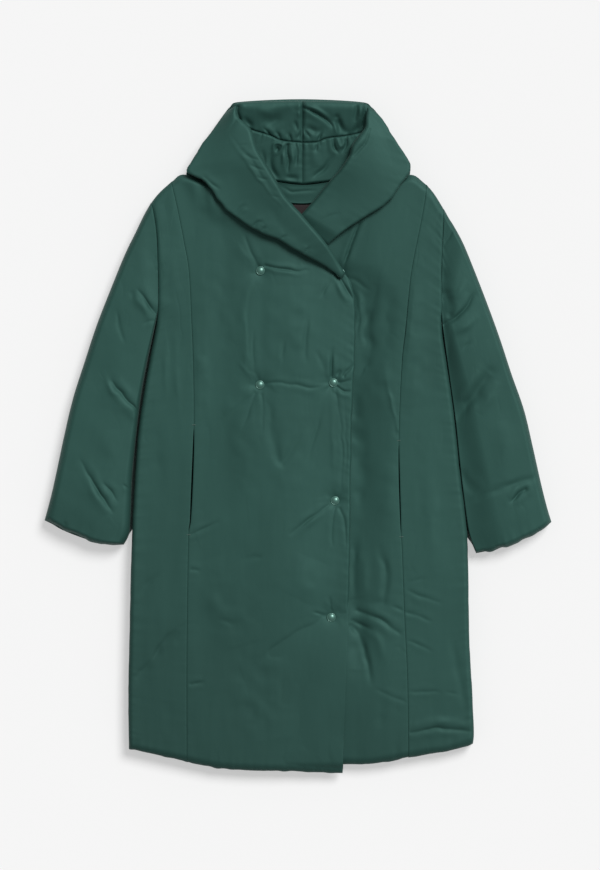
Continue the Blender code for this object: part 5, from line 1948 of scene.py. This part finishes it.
@dataclass
class Hood(Part):
    """The hood's back, the pieces in its mouth, the neck facing, the lining and the two turned sides."""

    fine: float = 1.9  # distance between the grid lines of the small pieces

    def back(self) -> Panel:
        """The hood's back, level underneath.

        Returns:
            The panel.
        """
        lifted = Edge(13, 18, Round.BOLSTER, lift=9, lift_reach=16)
        return Panel("hood_back", four(HOOD_SIDE_RIGHT, HOOD_SIDE_LEFT, NECK_BACK, HOOD_TOP),
                     four(lifted, lifted, Edge(15, 10), lifted), BACK_THICKNESS, 0.0, seed=31, unevenness=0.0,
                     step=6.0, coarse=1)

    def mouth(self) -> list[Panel]:
        """The four pieces that show in the hood's mouth, gathered along the seam between them.

        Returns:
            The panels, from the bottom up.
        """
        crown_right, crown_left = split(CROWN_TOP)
        gather_right, gather_left = split(GATHER)
        nape_right, nape_left = split(NAPE_BOTTOM)
        crown_seam = (gather_left[0], crown_left[0])
        nape_seam = (nape_left[0], gather_left[0])
        seam = Edge(10, 8, pucker=0.5, pucker_length=12)
        gathered = Edge(10, 4, pucker=1.0, pucker_length=10)
        crown = Edge(10, 4, pucker=0.8, pucker_length=11)
        hidden = Edge(3, 30)
        opening = Edge(7, 16, Round.BOLSTER, lift=4, lift_reach=8, pucker=0.3, pucker_length=20)
        made = []
        for node, low, high, left, right, outer, top, folds, seed in (
            ("hood_right_crown", gather_right, crown_right, (gather_right[0], crown_right[0]), crown_seam,
             Side.LEFT, True, CROWN_FOLDS, 32),
            ("hood_left_crown", gather_left, crown_left, crown_seam, (gather_left[-1], crown_left[-1]),
             Side.RIGHT, True, CROWN_FOLDS, 33),
            ("hood_right_nape", nape_right, gather_right, NAPE_SIDE_RIGHT, nape_seam, Side.LEFT, False,
             NAPE_FOLDS, 34),
            ("hood_left_nape", nape_left, gather_left, nape_seam, NAPE_SIDE_LEFT, Side.RIGHT, False,
             NAPE_FOLDS, 35),
        ):
            edges = four(seam, seam, crown, opening) if top else four(seam, seam, Edge(7, 4), gathered)
            edges[outer] = hidden
            made.append(Panel(node, four(left, right, low, high), edges,
                              CROWN_THICKNESS if top else NAPE_THICKNESS, folds=folds, seed=seed,
                              step=self.fine, unevenness=0.7, climb=17.0 if top else 11.0))
        return made

    def neck(self) -> list[Panel]:
        """The facing at the neck and the lining under it.

        Returns:
            The two panels.
        """
        thin = Edge(6.5, 5)
        flat = Edge(1.8, 3)
        made = []
        for node, low, high, thickness, climb, edge, folds in (
            ("neck_facing", FACING_BOTTOM, FACING_TOP, FACING_THICKNESS, 4.0, thin, FACING_FOLDS),
            ("back_lining", LINING_BOTTOM, LINING_TOP, LINING_THICKNESS, 1.0, flat, ()),
        ):
            sides = four((low[0], high[0]), (low[-1], high[-1]), low, high)
            made.append(Panel(node, sides, dict.fromkeys(Side, edge), thickness, folds=folds, seed=36,
                              step=self.fine, unevenness=0.25, climb=climb))
        return made

    def wings(self) -> list[Panel]:
        """The two sides of the hood.

        Returns:
            The panels, the left one first, which the right one lies on.
        """
        outer = Edge(19, 6, Round.BOLSTER, lift=2, lift_reach=6, pucker=0.35, pucker_length=24, wave=2.0)
        rim = Edge(9, 8, Round.BOLSTER, lift=2, lift_reach=6, pucker=0.3, pucker_length=20, wave=0.8)
        end = Edge(6, 9, Round.BOLSTER)
        edges = four(outer, rim, end, end)
        made = []
        for node, outer_line, rim_line, tip, tapers, outer_share, kept, folds, seed, grain in (
            ("hood_left_wing", WING_LEFT_OUTER, WING_LEFT_RIM, 17.0, 0.9, 0.5, (36.0, 28.0),
             LEFT_WING_FOLDS, 37, 40.0),
            ("hood_right_wing", WING_RIGHT_OUTER, WING_RIGHT_RIM, 14.0, 0.8, 0.4, (0.0, 0.0),
             RIGHT_WING_FOLDS, 38, -40.0),
        ):
            sides = four(outer_line, rim_line, (outer_line[0], rim_line[0]), (outer_line[-1], rim_line[-1]))
            made.append(WingPanel(node, sides, edges, WING_THICKNESS, folds=folds, seed=seed, grain=grain,
                                  columns=grid_shares(95, 1.9), rows=grid_shares(430, 2.1), tip=tip,
                                  tapers=tapers, outer_share=outer_share, kept=kept, unevenness=0.7))
        return made

    def build(self) -> None:
        """Makes the hood and hands it in."""
        order = (([self.back()], Held.LAID), (self.mouth(), Held.GATHERED), (self.neck(), Held.LAID))
        for panels, held in order:
            for panel in panels:
                lining = panel.node == "back_lining"
                piece = panel.build(self.stack, self.finishes.lining if lining else self.finishes.shell)
                slot = self.declared.slot_lining if lining else self.declared.slot_shell
                self.declared.sheet(piece, panel.node, panel.cut(), held, slot)

    def turn_over(self) -> None:
        """Lays the turned sides on top, once all else is down."""
        for panel in self.wings():
            piece = panel.build(self.stack, self.finishes.shell)
            self.declared.sheet(piece, panel.node, panel.cut(), Held.FOLDED)


@dataclass
class Snaps(Part):
    """The snap caps: low enamelled domes with a turned rim."""

    diameter: float = 16.0
    wall: float = 1.0  # height of its rim
    rim_round: float = 0.16
    seat_gap: float = 0.1  # how far above the cloth it sits
    # Width and rise of each ring from the rim to the middle of the dome
    rings: tuple = ((0.5, 0.25), (0.45, 0.0), (0.3, -0.35), (0.25, 0.25), (0.9, 0.75), (1.2, 0.6),
                    (1.3, 0.42), (1.4, 0.28), (1.2, 0.12))

    def cap(self) -> bpy.types.Object:
        """Models one cap at the origin.

        Returns:
            The cap.
        """
        bpy.ops.object.select_all(action="DESELECT")
        bpy.ops.mesh.primitive_cylinder_add(vertices=48, radius=self.diameter / 2 * MM, depth=self.wall * MM,
                                            location=(0, 0, self.wall / 2 * MM))
        made = bpy.context.object
        bpy.ops.object.transform_apply(location=True, rotation=True, scale=True)
        bpy.ops.object.mode_set(mode="EDIT")
        bpy.ops.mesh.select_mode(type="FACE")
        bpy.ops.mesh.select_all(action="DESELECT")
        bpy.ops.object.mode_set(mode="OBJECT")
        for face in made.data.polygons:
            face.select = face.normal.z > 0.9
        bpy.ops.object.mode_set(mode="EDIT")
        for inset, rise in self.rings:
            bpy.ops.mesh.inset(thickness=inset * MM)
            if rise:
                bpy.ops.transform.translate(value=(0, 0, rise * MM))
        bpy.ops.object.mode_set(mode="OBJECT")
        bevel = made.modifiers.new("rim", "BEVEL")
        bevel.width = self.rim_round * MM
        bevel.segments = 2
        bevel.limit_method = "ANGLE"
        bevel.angle_limit = math.radians(40)
        bpy.ops.object.modifier_apply(modifier="rim")
        bpy.ops.object.shade_smooth_by_angle(angle=math.radians(35))
        return made

    def build(self) -> None:
        """Places a copy of the cap at each snap, level on the highest cloth under it."""
        model = self.cap()
        source = np.array([vertex.co[:] for vertex in model.data.vertices])
        radius = self.diameter / 2
        for node, x, y, _ in SNAPS:
            seat = max(self.stack.height(x + r * math.cos(turn), y + r * math.sin(turn))
                       for r in (0.0, 0.35 * radius, 0.7 * radius, radius)
                       for turn in np.linspace(0, 2 * math.pi, 12, endpoint=False))
            mesh = model.data.copy()
            mesh.name = f"{node}_cap"
            mesh.vertices.foreach_set("co", (source + np.array([x, y, seat + self.seat_gap]) * MM).ravel())
            mesh.materials.clear()
            mesh.materials.append(self.finishes.cap)
            piece = bpy.data.objects.new(f"{node}_cap", mesh)
            bpy.context.scene.collection.objects.link(piece)
            self.declared.hand_in(piece, node, self.declared.slot_cap)
            self.stack.add(piece)
        bpy.data.objects.remove(model, do_unlink=True)


@dataclass
class Studio:
    """Pale floor, soft light and the camera straight above the coat."""

    distance: float = 8.0  # how far above the coat the camera is
    offset: tuple = (0.00416, 0.00231)  # where it is across and up the coat
    view_height: float = 1.6095  # how much it sees, from the lower to the upper edge
    centre_height: float = 0.03  # height at which it sees that much
    floor_drop: float = 0.0004  # how far below the coat the floor is
    floor_tone: float = 0.4
    floor_grain: float = 0.003  # how much its tone varies
    floor_glow: float = 0.461
    sun_strength: float = 3.33
    sun_direction: tuple = (0.5, 0.66, 1.0)  # where the key light comes from
    sun_spread: float = 26.0  # how wide it is, in degrees
    sky_strength: float = 0.33  # strength of the light from all round

    def build(self) -> None:
        """Sets up all of it."""
        self.floor()
        self.lights()
        self.camera()

    def floor(self) -> None:
        """The pale floor."""
        bpy.ops.object.select_all(action="DESELECT")
        bpy.ops.mesh.primitive_plane_add(size=40, location=(0, 0, 0))
        made = bpy.context.object
        for vertex in made.data.vertices:
            vertex.co.z = -self.floor_drop
        made.name = "floor"
        shader = Shader("floor_paper")
        tone = shader.node("ShaderNodeMapRange", {"Value": shader.speckle(3.0),
                                                  "To Min": self.floor_tone - self.floor_grain,
                                                  "To Max": self.floor_tone + self.floor_grain}).outputs[0]
        colour = shader.node("ShaderNodeCombineColor", {0: tone, 1: tone, 2: tone})
        shader.set(Base_Color=colour.outputs[0], Roughness=0.9, Specular_IOR_Level=0.0,
                   Emission_Color=(1, 1, 1, 1), Emission_Strength=self.floor_glow)
        made.data.materials.append(shader.material)

    def lights(self) -> None:
        """A broad key from the upper right and an even sky."""
        world = bpy.data.worlds.new("studio")
        world.use_nodes = True
        background = world.node_tree.nodes["Background"]
        background.inputs["Color"].default_value = (1, 1, 1, 1)
        background.inputs["Strength"].default_value = self.sky_strength
        bpy.context.scene.world = world
        sun = bpy.data.lights.new("key", "SUN")
        sun.energy = self.sun_strength
        sun.angle = math.radians(self.sun_spread)
        made = bpy.data.objects.new("key", sun)
        made.rotation_euler = Vector(self.sun_direction).to_track_quat("Z", "Y").to_euler()
        bpy.context.scene.collection.objects.link(made)

    def camera(self) -> None:
        """The camera, looking straight down."""
        data = bpy.data.cameras.new("camera")
        data.sensor_width = 36.0
        data.lens = 36.0 * self.distance / self.view_height
        data.clip_end = 100
        made = bpy.data.objects.new("camera", data)
        made.location = (*self.offset, self.distance + self.centre_height)
        bpy.context.scene.collection.objects.link(made)
        bpy.context.scene.camera = made
        bpy.context.scene.view_settings.view_transform = "Standard"


def corners(box: tuple) -> list:
    """A box's two corners as plain lists."""
    return [[float(value) for value in corner] for corner in box]


def main() -> None:
    """Builds the coat's looks from the back panel up."""
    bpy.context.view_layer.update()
    finishes, declared, stack = Finishes.make(), Declared(), Stack()
    Body(finishes, declared, stack).build()
    Pockets(finishes, declared, stack).build()
    Sleeves(finishes, declared, stack).build()
    hood = Hood(finishes, declared, stack)
    hood.build()
    Snaps(finishes, declared, stack).build()
    hood.turn_over()
    Studio().build()


if __name__ == "__main__":
    main()
